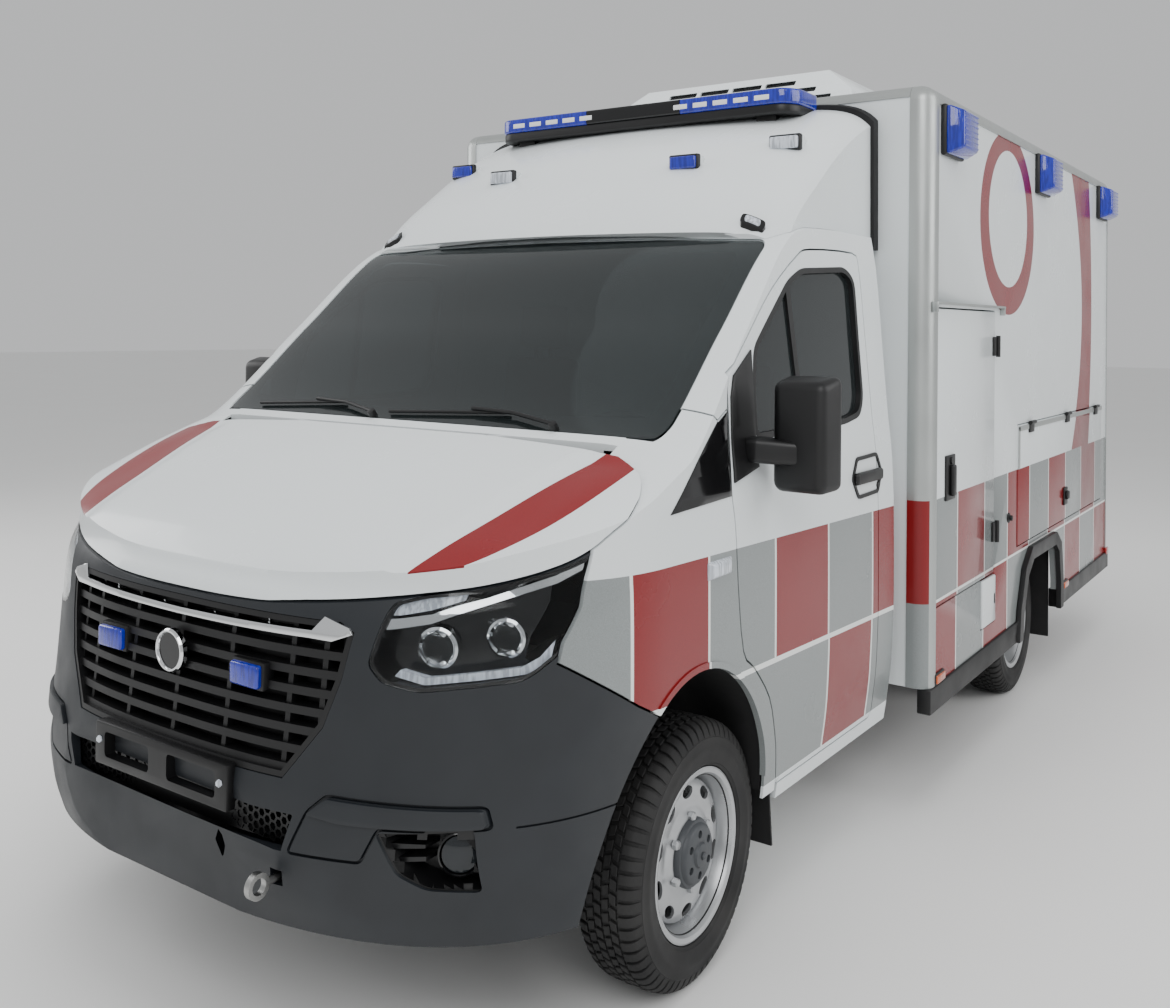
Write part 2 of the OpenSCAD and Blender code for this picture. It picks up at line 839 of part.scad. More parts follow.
module box_shell() color(white) row() {
    difference() {
        union() {
            // walls, floor and roof
            difference() {
                block([-box_half, box_front, box_floor_top - 46], [box_half, box_rear, box_top]);
                block([-box_half + box_wall, box_front + box_wall, box_floor_top],
                    [box_half - box_wall, box_rear - box_wall, box_top - box_wall]);
            }
            // lower side panels
            both_sides()
                block([box_half - 30, box_front, panel_bottom], [box_half, box_rear, box_floor_top]);
            block([-box_half, box_front, panel_bottom], [-box_half + 300, box_front + 30, box_floor_top]);
            block([box_half - 300, box_front, panel_bottom], [box_half, box_front + 30, box_floor_top]);
        }
        rear_arch(0);
        // openings in the left wall
        block([box_half - 200, locker_front - shut_gap, locker_bottom - shut_gap],
            [far, locker_rear + shut_gap, locker_bottom + locker_height + shut_gap]);
        block([box_half - 200, flap_front - shut_gap, flap_bottom - shut_gap],
            [far, flap_rear + shut_gap, flap_bottom + flap_height + shut_gap]);
        block([box_half - 200, filler_front - shut_gap, filler_bottom - shut_gap],
            [far, filler_front + filler_length + shut_gap, filler_bottom + filler_height + shut_gap]);
        // openings in the right wall and the back wall
        block([-far, side_door_front - shut_gap, doorway_bottom],
            [-box_half + 200, side_door_front + side_door_length + shut_gap,
             doorway_bottom + side_door_height + shut_gap]);
        block([-rear_doorway / 2 - shut_gap, box_rear - 200, doorway_bottom],
            [rear_doorway / 2 + shut_gap, far * 3, doorway_bottom + rear_door_height + shut_gap]);
    }
}

profile = 54;

module box_profiles() color(steel) row() {
    both_sides() {
        // roof edge and corner profiles, proud of the panels
        block([box_half - profile, box_front - 8, box_top + 0.2],
            [box_half + 6, box_rear + 4, box_top + 8]);
        block([box_half + 0.2, box_front - 8, box_top - profile],
            [box_half + 6, box_rear + 4, box_top + 8]);
        block([box_half + 0.2, box_front - 8, panel_bottom], [box_half + 6, box_front + 34, box_top]);
        block([box_half - profile, box_front - 8, panel_bottom], [box_half + 6, box_front - 0.2, box_top]);
        block([box_half + 0.2, box_rear - 34, panel_bottom], [box_half + 6, box_rear + 4, box_top]);
    }
    block([-box_half, box_front - 8, box_top + 0.2], [box_half, box_front + 50, box_top + 8]);
    block([-box_half, box_rear - 50, box_top + 0.2], [box_half, box_rear + 4, box_top + 8]);
    // rain gutter over the tall locker door
    block([box_half + 0.2, locker_front - 26, locker_bottom + locker_height + 16],
        [box_half + 26, locker_rear + 96, locker_bottom + locker_height + 26]);
}

module box_skirt() color(black) row() both_sides() {
    block([box_half - 40, box_front + 6, skirt_bottom],
        [box_half + 10, arch_front_y - 6, panel_bottom - 0.2]);
    block([box_half - 40, arch_rear_y + 6, skirt_bottom], [box_half + 10, box_rear - 8, panel_bottom - 0.2]);
    // arch trim
    difference() {
        intersection() {
            rear_arch(52);
            block([box_half + 0.2, 0, skirt_bottom], [box_half + 24, far * 3, 1000]);
        }
        rear_arch(-10);
    }
    // hangers up to the floor
    for (y = [box_front + 200, arch_front_y - 200, arch_rear_y + 200, box_rear - 200])
        block([box_half - 40, y, skirt_bottom + 10], [box_half - 30.2, y + 40, box_floor_top - 60]);
}

module locker_liners() color(steel) row() {
    inner = box_half - box_wall;
    difference() {
        union() {
            block([inner - locker_depth, box_front + box_wall + 0.5, box_floor_top + 0.5],
                [inner - 0.5, locker_rear + 30, locker_bottom + locker_height + 30]);
            block([inner - locker_depth, flap_front - 30, box_floor_top + 0.5],
                [inner - 0.5, flap_rear + 30, flap_bottom + flap_height + 40]);
        }
        block([inner - locker_depth + 14, box_front + box_wall + 14, box_floor_top + 14],
            [inner + 10, locker_rear + 16, locker_bottom + locker_height + 16]);
        block([inner - locker_depth + 14, flap_front - 16, box_floor_top + 14],
            [inner + 10, flap_rear + 16, flap_bottom + flap_height + 26]);
    }
}

roof_unit_front = 1940;
roof_unit_length = 760;

module roof_unit() color(white) row() meshed()
    hull() {
        block([-roof_unit_width / 2, roof_unit_front, box_top + 0.3],
            [roof_unit_width / 2, roof_unit_front + roof_unit_length, box_top + 60]);
        block([-roof_unit_width / 2 + 20, roof_unit_front + 40, box_top + 60],
            [roof_unit_width / 2 - 20, roof_unit_front + roof_unit_length - 20, box_top + 140]);
        block([-roof_unit_width / 2 + 150, roof_unit_front + 130, box_top + 100],
            [roof_unit_width / 2 - 150, roof_unit_front + roof_unit_length - 60, box_top + roof_unit_height]);
    }

module side_beacons() color(blue) row() meshed()
    both_sides() for (y = [box_front + 105, (box_front + box_rear) / 2 - 135, box_rear - 376])
        hull() {
            block([box_half + 0.3, y, 2402], [box_half + 20, y + 232, 2592]);
            block([box_half + 60, y + 26, 2424], [box_half + 84, y + 206, 2570]);
        }

module tail_lamps() color([0.6, 0.05, 0.05]) row() both_sides() {
    block([box_half - 120, box_rear + 0.3, 520], [box_half - 20, box_rear + 50, 860]);
    block([box_half - 130, box_rear + 0.3, 2470], [box_half - 30, box_rear + 40, 2560]);
}

module rear_step() color(dark_grey) row() {
    rear = wheelbase + rear_overhang;
    block([-760, box_rear + 6, 420], [760, rear, 456]);
    both_sides() block([rail_x - 30, box_rear - 260, 440], [rail_x + 30, box_rear + 40, rail_bottom]);
    both_sides() block([rail_x - 30, box_rear - 10, 400], [rail_x + 30, rear - 10, 440]);
}

module mudflaps() color(black) row() both_sides() {
    side_prism([[372, 470], [404, 232], [412, 232], [380, 470]], 790, 985);
    side_prism([[372, 465], [360, 737], [368, 737], [380, 465]], 790, 848);
    side_prism([[wheelbase + 385, 200], [wheelbase + 385, box_floor_top - 46.4],
        [wheelbase + 393, box_floor_top - 46.4], [wheelbase + 393, 200]], 560, box_half - 45);
}

// ---------- lids and doors of the box ----------

locker_hinge = [box_half + 16, locker_rear + 4];
flap_hinge = [box_half + 14, flap_bottom + flap_height + 4];

module locker_door() color(white) row() {
    block([box_half - 28, locker_front, locker_bottom],
        [box_half + 4, locker_rear, locker_bottom + locker_height]);
    for (z = [908, 1687])
        translate([locker_hinge[0], locker_hinge[1], z - 45]) cylinder(h = 90, r = 9);
    for (z = [908, 1687])
        block([box_half + 4, locker_rear - 50, z - 40], [box_half + 12, locker_rear, z + 40]);
    block([box_half + 4, locker_front + 120, 1112], [box_half + 30, locker_front + 235, 1282]);
}

module side_flap() color(white) row() {
    block([box_half - 28, flap_front, flap_bottom], [box_half + 4, flap_rear, flap_bottom + flap_height]);
    for (y = [flap_front + 230, (flap_front + flap_rear) / 2, flap_rear - 200])
        translate([flap_hinge[0], 0, flap_hinge[1]]) bar_y(y - 45, y + 45, 9);
    for (y = [flap_front + 230, (flap_front + flap_rear) / 2, flap_rear - 200])
        block([box_half + 4, y - 40, flap_bottom + flap_height - 60],
            [box_half + 12, y + 40, flap_bottom + flap_height]);
    block([box_half + 4, (flap_front + flap_rear) / 2 - 32, 860],
        [box_half + 26, (flap_front + flap_rear) / 2 + 32, 950]);
}

module filler_flap() color(white) row()
    block([box_half - 10, filler_front, filler_bottom],
        [box_half + 8, filler_front + filler_length, filler_bottom + filler_height]);

module door_leaf(size, window_low, window_high) {
    difference() {
        cube(size);
        translate([-1, window_low[0], window_low[1]])
            cube([size[0] + 2, window_high[0] - window_low[0], window_high[1] - window_low[1]]);
    }
}

side_window_low = [150, 900];
side_window_high = [610, 1430];
side_hinge = [-box_half - 14, side_door_front - 4];

module side_door() color(white) row() {
    translate([-box_half - 4, side_door_front, doorway_bottom + shut_gap])
        door_leaf([44, side_door_length, side_door_height - shut_gap], side_window_low, side_window_high);
    for (z = [900, 2200])
        translate([side_hinge[0], side_hinge[1], z - 45]) cylinder(h = 90, r = 9);
    for (z = [900, 2200])
        block([-box_half - 12, side_door_front, z - 40], [-box_half - 4, side_door_front + 50, z + 40]);
    block([-box_half - 34, side_door_front + side_door_length - 120, 1180],
        [-box_half - 4, side_door_front + side_door_length - 60, 1340]);
}

module side_window() color(glass) row()
    translate([-box_half + 12, side_door_front + side_window_low[0] + 0.3,
        doorway_bottom + shut_gap + side_window_low[1] + 0.3])
        cube([glass_thickness, side_window_high[0] - side_window_low[0] - 0.6,
            side_window_high[1] - side_window_low[1] - 0.6]);

leaf_gap = 5;
rear_leaf = rear_doorway / 2 - leaf_gap - half_gap;
rear_window_low = [160, 900];
rear_window_high = [rear_leaf - 130, 1430];

module rear_leaf_panel() {
    translate([0, box_rear + 6, doorway_bottom + shut_gap]) rotate([0, 0, -90])
        translate([0, leaf_gap, 0])
        door_leaf([44, rear_leaf, rear_door_height - shut_gap], rear_window_low, rear_window_high);
    for (z = [900, 2200]) {
        translate([rear_doorway / 2 + 4, box_rear + 16, z - 45]) cylinder(h = 90, r = 9);
        block([rear_doorway / 2 - 60, box_rear + 6, z - 40], [rear_doorway / 2 + 4, box_rear + 14, z + 40]);
    }
    block([leaf_gap + 30, box_rear + 6, 1180], [leaf_gap + 80, box_rear + 34, 1340]);
}

module rear_glass() {
    translate([0, box_rear - 12, doorway_bottom + shut_gap]) rotate([0, 0, -90])
        translate([0, leaf_gap + rear_window_low[0] + 0.3, rear_window_low[1] + 0.3])
        cube([glass_thickness, rear_window_high[0] - rear_window_low[0] - 0.6,
            rear_window_high[1] - rear_window_low[1] - 0.6]);
}

module rear_door_left() color(white) row() rear_leaf_panel();
module rear_door_right() color(white) row() mirror([1, 0, 0]) rear_leaf_panel();
module rear_window_left() color(glass) row() rear_glass();
module rear_window_right() color(glass) row() mirror([1, 0, 0]) rear_glass();

// ---------- wheels ----------

// Profile points are [radius, offset from the wheel's middle]
module tyre() {
    h = tyre_width / 2;
    r = tyre_radius;
    bead = rim_radius - 23.6;
    rotate([0, 90, 0]) rotate_extrude() polygon([
        [bead, -h + 23.4], [rim_radius + 2, -h + 23.4], [rim_radius + 10, -h + 10],
        [rim_radius + 50, -h],
        [r - 50, -h + 4], [r - 22, -h + 12], [r - 6, -h + 26], [r, -h + 44],
        [r, h - 44], [r - 6, h - 26], [r - 22, h - 12], [r - 50, h - 4],
        [rim_radius + 50, h], [rim_radius + 10, h - 10], [rim_radius + 2, h - 23.4],
        [bead, h - 23.4], [bead, h - 33], [rim_radius + 46, h - 14], [r - 48, h - 18],
        [r - 24, h - 40], [r - 24, -h + 40], [r - 48, -h + 18], [rim_radius + 46, -h + 14],
        [bead, -h + 33]]);
}

// disc_at is where the disc meets the barrel; dish is how far the hub face stands from it
module rim(disc_at, dish) {
    h = tyre_width / 2 - 22;
    b = rim_radius - 16;
    difference() {
        rotate([0, 90, 0]) rotate_extrude() polygon([
            [b - 8, -h + 1], [rim_radius, -h], [rim_radius, -h - 6], [b - 8, -h - 6],
            [b - 14, -h + 14], [b - 34, -h + 40], [b - 34, disc_at - 12],
            [150, disc_at + dish * 0.6 - 6], [120, disc_at + dish - 6],
            [spindle_radius + running_clearance, disc_at + dish - 6],
            [spindle_radius + running_clearance, disc_at + dish + 6],
            [118, disc_at + dish + 6], [146, disc_at + dish * 0.6 + 6],
            [b - 34, disc_at], [b - 34, h - 40], [b - 14, h - 14], [b - 8, h + 6],
            [rim_radius, h + 6], [rim_radius, h], [b - 8, h - 1], [b - 8, h - 12],
            [b - 28, h - 40], [b - 28, -h + 40], [b - 8, -h + 12]]);
        for (i = [0:9])
            rotate([36 * i, 0, 0]) translate([0, 0, 165]) bar_x(-200, 200, 15);
    }
}

module front_rim() {
    difference() {
        union() {
            rim(34, 30);
            bar_x(2, 64, 62);
            bar_x(60, 92, 56);
        }
        bar_x(-200, 72, spindle_radius + running_clearance);
    }
}

module tyre_front_left() color(black) row()
    translate([front_track_half, 0, tyre_radius]) tyre();
module tyre_front_right() color(black) row()
    translate([-front_track_half, 0, tyre_radius]) tyre();
module rim_front_left() color(steel) row()
    translate([front_track_half, 0, tyre_radius]) front_rim();
module rim_front_right() color(steel) row()
    translate([-front_track_half, 0, tyre_radius]) mirror([1, 0, 0]) front_rim();

module rear_rims() {
    difference() {
        union() {
            mirror([1, 0, 0]) rim(34, 60);
            translate([-twin_spacing, 0, 0]) rim(34, 84);
            bar_x(-160, 24, 80);
        }
        bar_x(-400, 400, spindle_radius + 6 + running_clearance);
    }
}

module rear_tyres() {
    tyre();
    translate([-twin_spacing, 0, 0]) tyre();
}

module tyres_rear_left() color(black) row()
    translate([rear_track_half, wheelbase, tyre_radius]) rear_tyres();
module tyres_rear_right() color(black) row()
    translate([-rear_track_half, wheelbase, tyre_radius]) mirror([1, 0, 0]) rear_tyres();
module rims_rear_left() color(steel) row()
    translate([rear_track_half, wheelbase, tyre_radius]) rear_rims();
module rims_rear_right() color(steel) row()
    translate([-rear_track_half, wheelbase, tyre_radius]) mirror([1, 0, 0]) rear_rims();

chassis_frame();
engine_block();
front_axle();
rear_axle();
leaf_springs();
driveline();
exhaust();
fuel_tank();
cab_shell();
windscreen();
front_bumper();
grille();
headlamps();
wings();
tow_eye();
roof_fairing();
light_bar();
box_shell();
box_profiles();
box_skirt();
locker_liners();
roof_unit();
side_beacons();
warning_lamps();
tail_lamps();
rear_step();
mudflaps();
dashboard();
steering_wheel();
seats();
knuckle_left();
knuckle_right();
tyre_front_left();
tyre_front_right();
rim_front_left();
rim_front_right();
tyres_rear_left();
tyres_rear_right();
rims_rear_left();
rims_rear_right();
cab_door_left();
cab_door_right();
cab_glass_left();
cab_glass_right();
mirror_left();
mirror_right();
bonnet();
locker_door();
side_flap();
filler_flap();
side_door();
side_window();
rear_door_left();
rear_door_right();
rear_window_left();
rear_window_right();
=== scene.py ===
"""Ambulance: finished panels, livery, lamps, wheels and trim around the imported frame.

Shapes are worked out in millimetre stations, as the frame's own source does: X across,
Y behind the front axle, Z above the ground. to_row() turns them into metres.
"""

import math

import bmesh
import bpy
import numpy as np
from bpy.props import FloatProperty, FloatVectorProperty, IntProperty, PointerProperty
from bpy.types import Operator, Panel, PropertyGroup
from mathutils import Matrix, Vector


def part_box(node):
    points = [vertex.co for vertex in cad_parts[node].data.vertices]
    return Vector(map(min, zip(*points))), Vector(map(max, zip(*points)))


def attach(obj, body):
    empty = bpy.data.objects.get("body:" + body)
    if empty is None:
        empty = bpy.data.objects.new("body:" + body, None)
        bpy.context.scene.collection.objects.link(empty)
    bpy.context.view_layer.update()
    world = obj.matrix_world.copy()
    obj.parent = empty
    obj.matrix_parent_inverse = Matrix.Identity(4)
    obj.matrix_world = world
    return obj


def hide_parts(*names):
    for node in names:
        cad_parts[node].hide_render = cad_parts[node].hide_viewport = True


bl_info = {
    "name": "Box Ambulance Finish",
    "version": (1, 0, 0),
    "blender": (4, 5, 0),
    "location": "3D View > Sidebar > Ambulance",
    "description": "Builds the visible panels, livery, lamps, wheels and trim of a box ambulance",
    "category": "Object",
}

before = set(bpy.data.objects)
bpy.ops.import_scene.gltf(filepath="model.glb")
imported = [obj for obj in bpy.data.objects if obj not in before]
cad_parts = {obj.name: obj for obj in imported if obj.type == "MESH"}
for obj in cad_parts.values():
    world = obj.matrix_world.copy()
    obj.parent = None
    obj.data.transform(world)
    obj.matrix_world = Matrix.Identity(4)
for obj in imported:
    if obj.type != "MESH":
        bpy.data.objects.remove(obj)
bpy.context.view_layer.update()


def middle(node):
    """Centre of a frame node, in metres."""
    low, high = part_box(node)
    return [(a + b) / 2 for a, b in zip(low, high)]


AXLE_Y = middle("tyre_front_left")[1]
TYRE_R = (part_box("tyre_front_left")[1][2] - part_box("tyre_front_left")[0][2]) * 500
WHEELBASE = (middle("tyres_rear_left")[1] - AXLE_Y) * 1000
FRONT_TRACK = middle("tyre_front_left")[0] * 1000
TYRE_WIDTH = (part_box("tyre_front_left")[1][0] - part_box("tyre_front_left")[0][0]) * 1000
REAR_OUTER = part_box("tyres_rear_left")[1][0] * 1000 - TYRE_WIDTH / 2
REAR_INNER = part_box("tyres_rear_left")[0][0] * 1000 + TYRE_WIDTH / 2
BOX_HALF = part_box("box_shell")[1][0] * 1000
BOX_FRONT = (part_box("box_shell")[0][1] - AXLE_Y) * 1000
BOX_REAR = (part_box("box_shell")[1][1] - AXLE_Y) * 1000
BOX_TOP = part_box("box_shell")[1][2] * 1000
CAB_REAR = (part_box("cab_shell")[1][1] - AXLE_Y) * 1000
FAR = 3000


def station_box(node):
    """Lowest and highest corners of a node in millimetre stations."""
    low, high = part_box(node)
    return [[c[0] * 1000, (c[1] - AXLE_Y) * 1000, c[2] * 1000] for c in (low, high)]


# ---------- settings ----------

def length(name, description, default, low, high):
    return FloatProperty(name=name, description=description, default=default, min=low, max=high,
                         unit="LENGTH", subtype="DISTANCE")


def colour(name, description, default):
    return FloatVectorProperty(name=name, description=description, default=default,
                               subtype="COLOR", size=3, min=0.0, max=1.0)


class AmbulanceSizes(PropertyGroup):
    """Sizes of the trim that the frame leaves open."""
    check_length: length("Chequer length", "Length of one livery block on the box", 0.376, 0.2, 0.6)
    check_line: length("Livery line", "Width of the pale line between blocks", 0.011, 0.004, 0.03)
    check_top: length("Chequer top", "Top of the livery blocks on the box", 1.130, 1.0, 1.3)
    check_middle: length("Chequer middle", "Line between the two rows of blocks", 0.755, 0.6, 0.9)
    corner_radius: length("Corner radius", "Radius of the box corner profiles", 0.055, 0.02, 0.08)
    profile_width: length("Profile width", "Width of the box corner profiles", 0.078, 0.04, 0.12)
    tread_depth: length("Tread depth", "Depth of the tyre tread", 0.008, 0.003, 0.012)
    crease_drop: length("Bonnet crease", "Height of the bonnet creases", 0.009, 0.0, 0.02)
    tread_pitches: IntProperty(name="Tread pitches", description="Tread blocks round one tyre",
                               default=62, min=40, max=90)
    slat_count: IntProperty(name="Grille slats", description="Slats in the grille", default=7,
                            min=4, max=10)


class AmbulanceColours(PropertyGroup):
    """Paint, livery and lens colours."""
    body: colour("Body", "Body paint", (0.74, 0.78, 0.79))
    red: colour("Livery red", "Red livery film", (0.21, 0.003, 0.005))
    grey: colour("Livery grey", "Grey livery film", (0.23, 0.25, 0.25))
    line: colour("Livery line", "Line between the blocks", (0.80, 0.82, 0.80))
    bumper: colour("Bumper", "Grained bumper plastic", (0.0105, 0.0130, 0.0165))
    profile: colour("Profiles", "Aluminium profiles of the box", (0.46, 0.48, 0.47))
    blue: colour("Blue lens", "Warning lamp lens", (0.008, 0.02, 0.42))


def sizes():
    return bpy.context.scene.ambulance_sizes


def colours():
    return bpy.context.scene.ambulance_colours


# ---------- mesh tools ----------

def to_row(points):
    """Millimetre stations to metres in the frame."""
    row = np.asarray(points, float).reshape(-1, 3) * 0.001
    row[:, 1] += AXLE_Y
    return row


def raw_mesh(points, faces, outward=True):
    mesh = bpy.data.meshes.new("part")
    mesh.from_pydata([tuple(p) for p in to_row(points)], [], faces)
    if outward:
        turn_out(mesh)
    return mesh


def turn_out(mesh, merge=0.00002):
    """Merges doubles and points the faces of a closed mesh outwards."""
    work = bmesh.new()
    work.from_mesh(mesh)
    bmesh.ops.remove_doubles(work, verts=work.verts, dist=merge)
    bmesh.ops.recalc_face_normals(work, faces=work.faces)
    work.to_mesh(mesh)
    work.free()
    return mesh


def join(meshes):
    work = bmesh.new()
    for mesh in meshes:
        work.from_mesh(mesh)
    joined = bpy.data.meshes.new("part")
    work.to_mesh(joined)
    work.free()
    return joined


def mirrored(mesh):
    """Copy of a mesh on the other side of the vehicle."""
    copy = mesh.copy()
    copy.transform(Matrix.Scale(-1, 4, (1, 0, 0)))
    copy.flip_normals()
    return copy


def both_sides(mesh):
    return join([mesh, mirrored(mesh)])


HANDS = (("left", lambda mesh: mesh.copy()), ("right", mirrored))


def loft(rings):
    """Closed skin through rings of equal length, capped at both ends."""
    count = len(rings[0])
    points = [p for ring in rings for p in ring]
    faces = [[i * count + j, i * count + (j + 1) % count, (i + 1) * count + (j + 1) % count,
              (i + 1) * count + j] for i in range(len(rings) - 1) for j in range(count)]
    faces.append(list(range(count)))
    faces.append([(len(rings) - 1) * count + j for j in range(count)])
    return raw_mesh(points, faces)


def prism(outline, low, high, axis):
    """Closed prism: along X of (y, z) points, along Y of (x, z), along Z of (x, y)."""
    place = {"X": lambda p, d: (d, p[0], p[1]), "Y": lambda p, d: (p[0], d, p[1]),
             "Z": lambda p, d: (p[0], p[1], d)}[axis]
    return loft([[place(p, d) for p in outline] for d in (low, high)])


def grown(outline, distance):
    """Outline with every edge moved outwards."""
    points = np.asarray(outline, float)
    ahead = np.roll(points, -1, 0)
    area = np.sum(points[:, 0] * ahead[:, 1] - ahead[:, 0] * points[:, 1])
    edge = ahead - points
    edge /= np.linalg.norm(edge, axis=1)[:, None]
    normal = np.stack([edge[:, 1], -edge[:, 0]], 1) * np.sign(area)
    before = np.roll(normal, 1, 0)
    meet = normal + before
    meet /= np.maximum(np.sum(meet * normal, 1), 0.35)[:, None]
    return (points + meet * distance).tolist()


def rounded(outline, radius, steps=5):
    """Outline with its corners rounded by arcs no longer than half an edge."""
    result = []
    count = len(outline)
    for i in range(count):
        corner = np.array(outline[i], float)
        back = np.array(outline[i - 1], float) - corner
        on = np.array(outline[(i + 1) % count], float) - corner
        reach = min(radius, np.linalg.norm(back) / 2.1, np.linalg.norm(on) / 2.1)
        start = corner + back / np.linalg.norm(back) * reach
        end = corner + on / np.linalg.norm(on) * reach
        for k in range(steps + 1):
            t = k / steps
            result.append(list((1 - t) ** 2 * start + 2 * t * (1 - t) * corner + t * t * end))
    return result


def block(low, high, bevel=0.0, segments=2):
    """Box between two corners with bevelled edges."""
    work = bmesh.new()
    bmesh.ops.create_cube(work, size=1.0)
    low, high = np.minimum(low, high), np.maximum(low, high)
    for vert in work.verts:
        spot = [low[i] + (high[i] - low[i]) * (vert.co[i] + 0.5) for i in range(3)]
        vert.co = to_row([spot])[0]
    if bevel:
        limit = min(high - low) * 0.49
        bmesh.ops.bevel(work, geom=work.edges[:], offset=min(bevel, limit) * 0.001,
                        segments=segments, affect="EDGES", profile=0.5)
    mesh = bpy.data.meshes.new("part")
    work.to_mesh(mesh)
    work.free()
    return mesh


def lathe(profile, centre=(0, 0, 0), axis=(1, 0, 0), steps=64):
    """Closed solid turned round an axis; profile points are (radius, offset along the axis)."""
    axis = Vector(axis).normalized()
    side = axis.orthogonal().normalized()
    up = axis.cross(side)
    rings = []
    for k in range(steps):
        turn = 2 * math.pi * k / steps
        out = side * math.cos(turn) + up * math.sin(turn)
        rings.append([Vector(centre) + axis * offset + out * radius for radius, offset in profile])
    count = len(profile)
    points = [p for ring in rings for p in ring]
    faces = [[i * count + j, i * count + (j + 1) % count, (i + 1) % steps * count + (j + 1) % count,
              (i + 1) % steps * count + j] for i in range(steps) for j in range(count)]
    return raw_mesh(points, faces)


def tube(path, radius, sides=12):
    """Round bar along a path."""
    points = [Vector(p) for p in path]
    rings = []
    for i, point in enumerate(points):
        ahead = points[min(i + 1, len(points) - 1)] - points[max(i - 1, 0)]
        ahead.normalize()
        side = ahead.cross(Vector((0.3, 0.2, 0.93))).normalized()
        up = side.cross(ahead)
        rings.append([point + side * radius * math.cos(2 * math.pi * k / sides)
                      + up * radius * math.sin(2 * math.pi * k / sides) for k in range(sides)])
    return loft(rings)


def evaluated(holder):
    """Plain mesh of an object with its modifiers worked in."""
    graph = bpy.context.evaluated_depsgraph_get()
    return bpy.data.meshes.new_from_object(holder.evaluated_get(graph), depsgraph=graph)


def placed(mesh, name="part"):
    holder = bpy.data.objects.new(name, mesh)
    bpy.context.scene.collection.objects.link(holder)
    return holder


def carve(mesh, *steps):
    """Works closed meshes into a closed mesh: steps are (operation, mesh)."""
    holder = placed(mesh)
    cutters = []
    for operation, cutter in steps:
        cutters.append(placed(cutter))
        modifier = holder.modifiers.new("carve", "BOOLEAN")
        modifier.operation = operation
        modifier.solver = "MANIFOLD"
        modifier.object = cutters[-1]
    result = evaluated(holder)
    for used in [holder] + cutters:
        bpy.data.objects.remove(used)
    if not result.polygons:
        raise RuntimeError("a carved panel came out empty")
    return result


def both(mesh, *others):
    """What closed meshes share."""
    return carve(mesh, *[("INTERSECT", other) for other in others])


def less(mesh, *others):
    """A closed mesh without the others."""
    return carve(mesh, *[("DIFFERENCE", other) for other in others])


def merged(mesh, *others):
    """Closed meshes as one."""
    return carve(mesh, *[("UNION", other) for other in others])


def softened(mesh, bevel, levels, segments=2):
    """Bevelled and subdivided copy of a mesh."""
    holder = placed(mesh)
    if bevel:
        edge = holder.modifiers.new("bevel", "BEVEL")
        edge.width = bevel * 0.001
        edge.segments = segments
        edge.limit_method = "ANGLE"
    if levels:
        smooth = holder.modifiers.new("smooth", "SUBSURF")
        smooth.levels = levels
        smooth.render_levels = levels
    result = evaluated(holder)
    bpy.data.objects.remove(holder)
    return result


def node_copy(node):
    """Merged copy of a frame node's mesh."""
    return turn_out(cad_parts[node].data.copy())


# ---------- repeated things by Geometry Nodes ----------

def repeat_tree(name, polar):
    """Node tree that repeats its mesh in rows and columns, or round the X axis."""
    tree = bpy.data.node_groups.new(name, "GeometryNodeTree")
    face = tree.interface
    face.new_socket("Geometry", in_out="INPUT", socket_type="NodeSocketGeometry")
    face.new_socket("Count", in_out="INPUT", socket_type="NodeSocketInt")
    face.new_socket("Step", in_out="INPUT", socket_type="NodeSocketVector")
    face.new_socket("Rows", in_out="INPUT", socket_type="NodeSocketInt")
    face.new_socket("Row Step", in_out="INPUT", socket_type="NodeSocketVector")
    face.new_socket("Finish", in_out="INPUT", socket_type="NodeSocketMaterial")
    face.new_socket("Geometry", in_out="OUTPUT", socket_type="NodeSocketGeometry")
    enter = tree.nodes.new("NodeGroupInput")
    leave = tree.nodes.new("NodeGroupOutput")
    link = tree.links.new
    single = tree.nodes.new("GeometryNodeGeometryToInstance")
    link(enter.outputs["Geometry"], single.inputs[0])
    geometry = single.outputs[0]
    levels = [("Count", "Step")] if polar else [("Count", "Step"), ("Rows", "Row Step")]
    for count, step in levels:
        double = tree.nodes.new("GeometryNodeDuplicateElements")
        double.domain = "INSTANCE"
        link(geometry, double.inputs["Geometry"])
        link(enter.outputs[count], double.inputs["Amount"])
        if polar:
            share = tree.nodes.new("ShaderNodeMath")
            share.operation = "DIVIDE"
            link(double.outputs["Duplicate Index"], share.inputs[0])
            link(enter.outputs[count], share.inputs[1])
            turn = tree.nodes.new("ShaderNodeMath")
            turn.operation = "MULTIPLY"
            turn.inputs[1].default_value = 2 * math.pi
            link(share.outputs[0], turn.inputs[0])
            angles = tree.nodes.new("ShaderNodeCombineXYZ")
            link(turn.outputs[0], angles.inputs["X"])
            spread = tree.nodes.new("GeometryNodeRotateInstances")
            link(angles.outputs[0], spread.inputs["Rotation"])
            link(enter.outputs[step], spread.inputs["Pivot Point"])
        else:
            offset = tree.nodes.new("ShaderNodeVectorMath")
            offset.operation = "SCALE"
            link(enter.outputs[step], offset.inputs[0])
            link(double.outputs["Duplicate Index"], offset.inputs["Scale"])
            spread = tree.nodes.new("GeometryNodeTranslateInstances")
            link(offset.outputs[0], spread.inputs["Translation"])
        link(double.outputs["Geometry"], spread.inputs["Instances"])
        geometry = spread.outputs[0]
    real = tree.nodes.new("GeometryNodeRealizeInstances")
    link(geometry, real.inputs[0])
    finish = tree.nodes.new("GeometryNodeSetMaterial")
    link(real.outputs[0], finish.inputs["Geometry"])
    link(enter.outputs["Finish"], finish.inputs["Material"])
    link(finish.outputs[0], leave.inputs[0])
    return tree


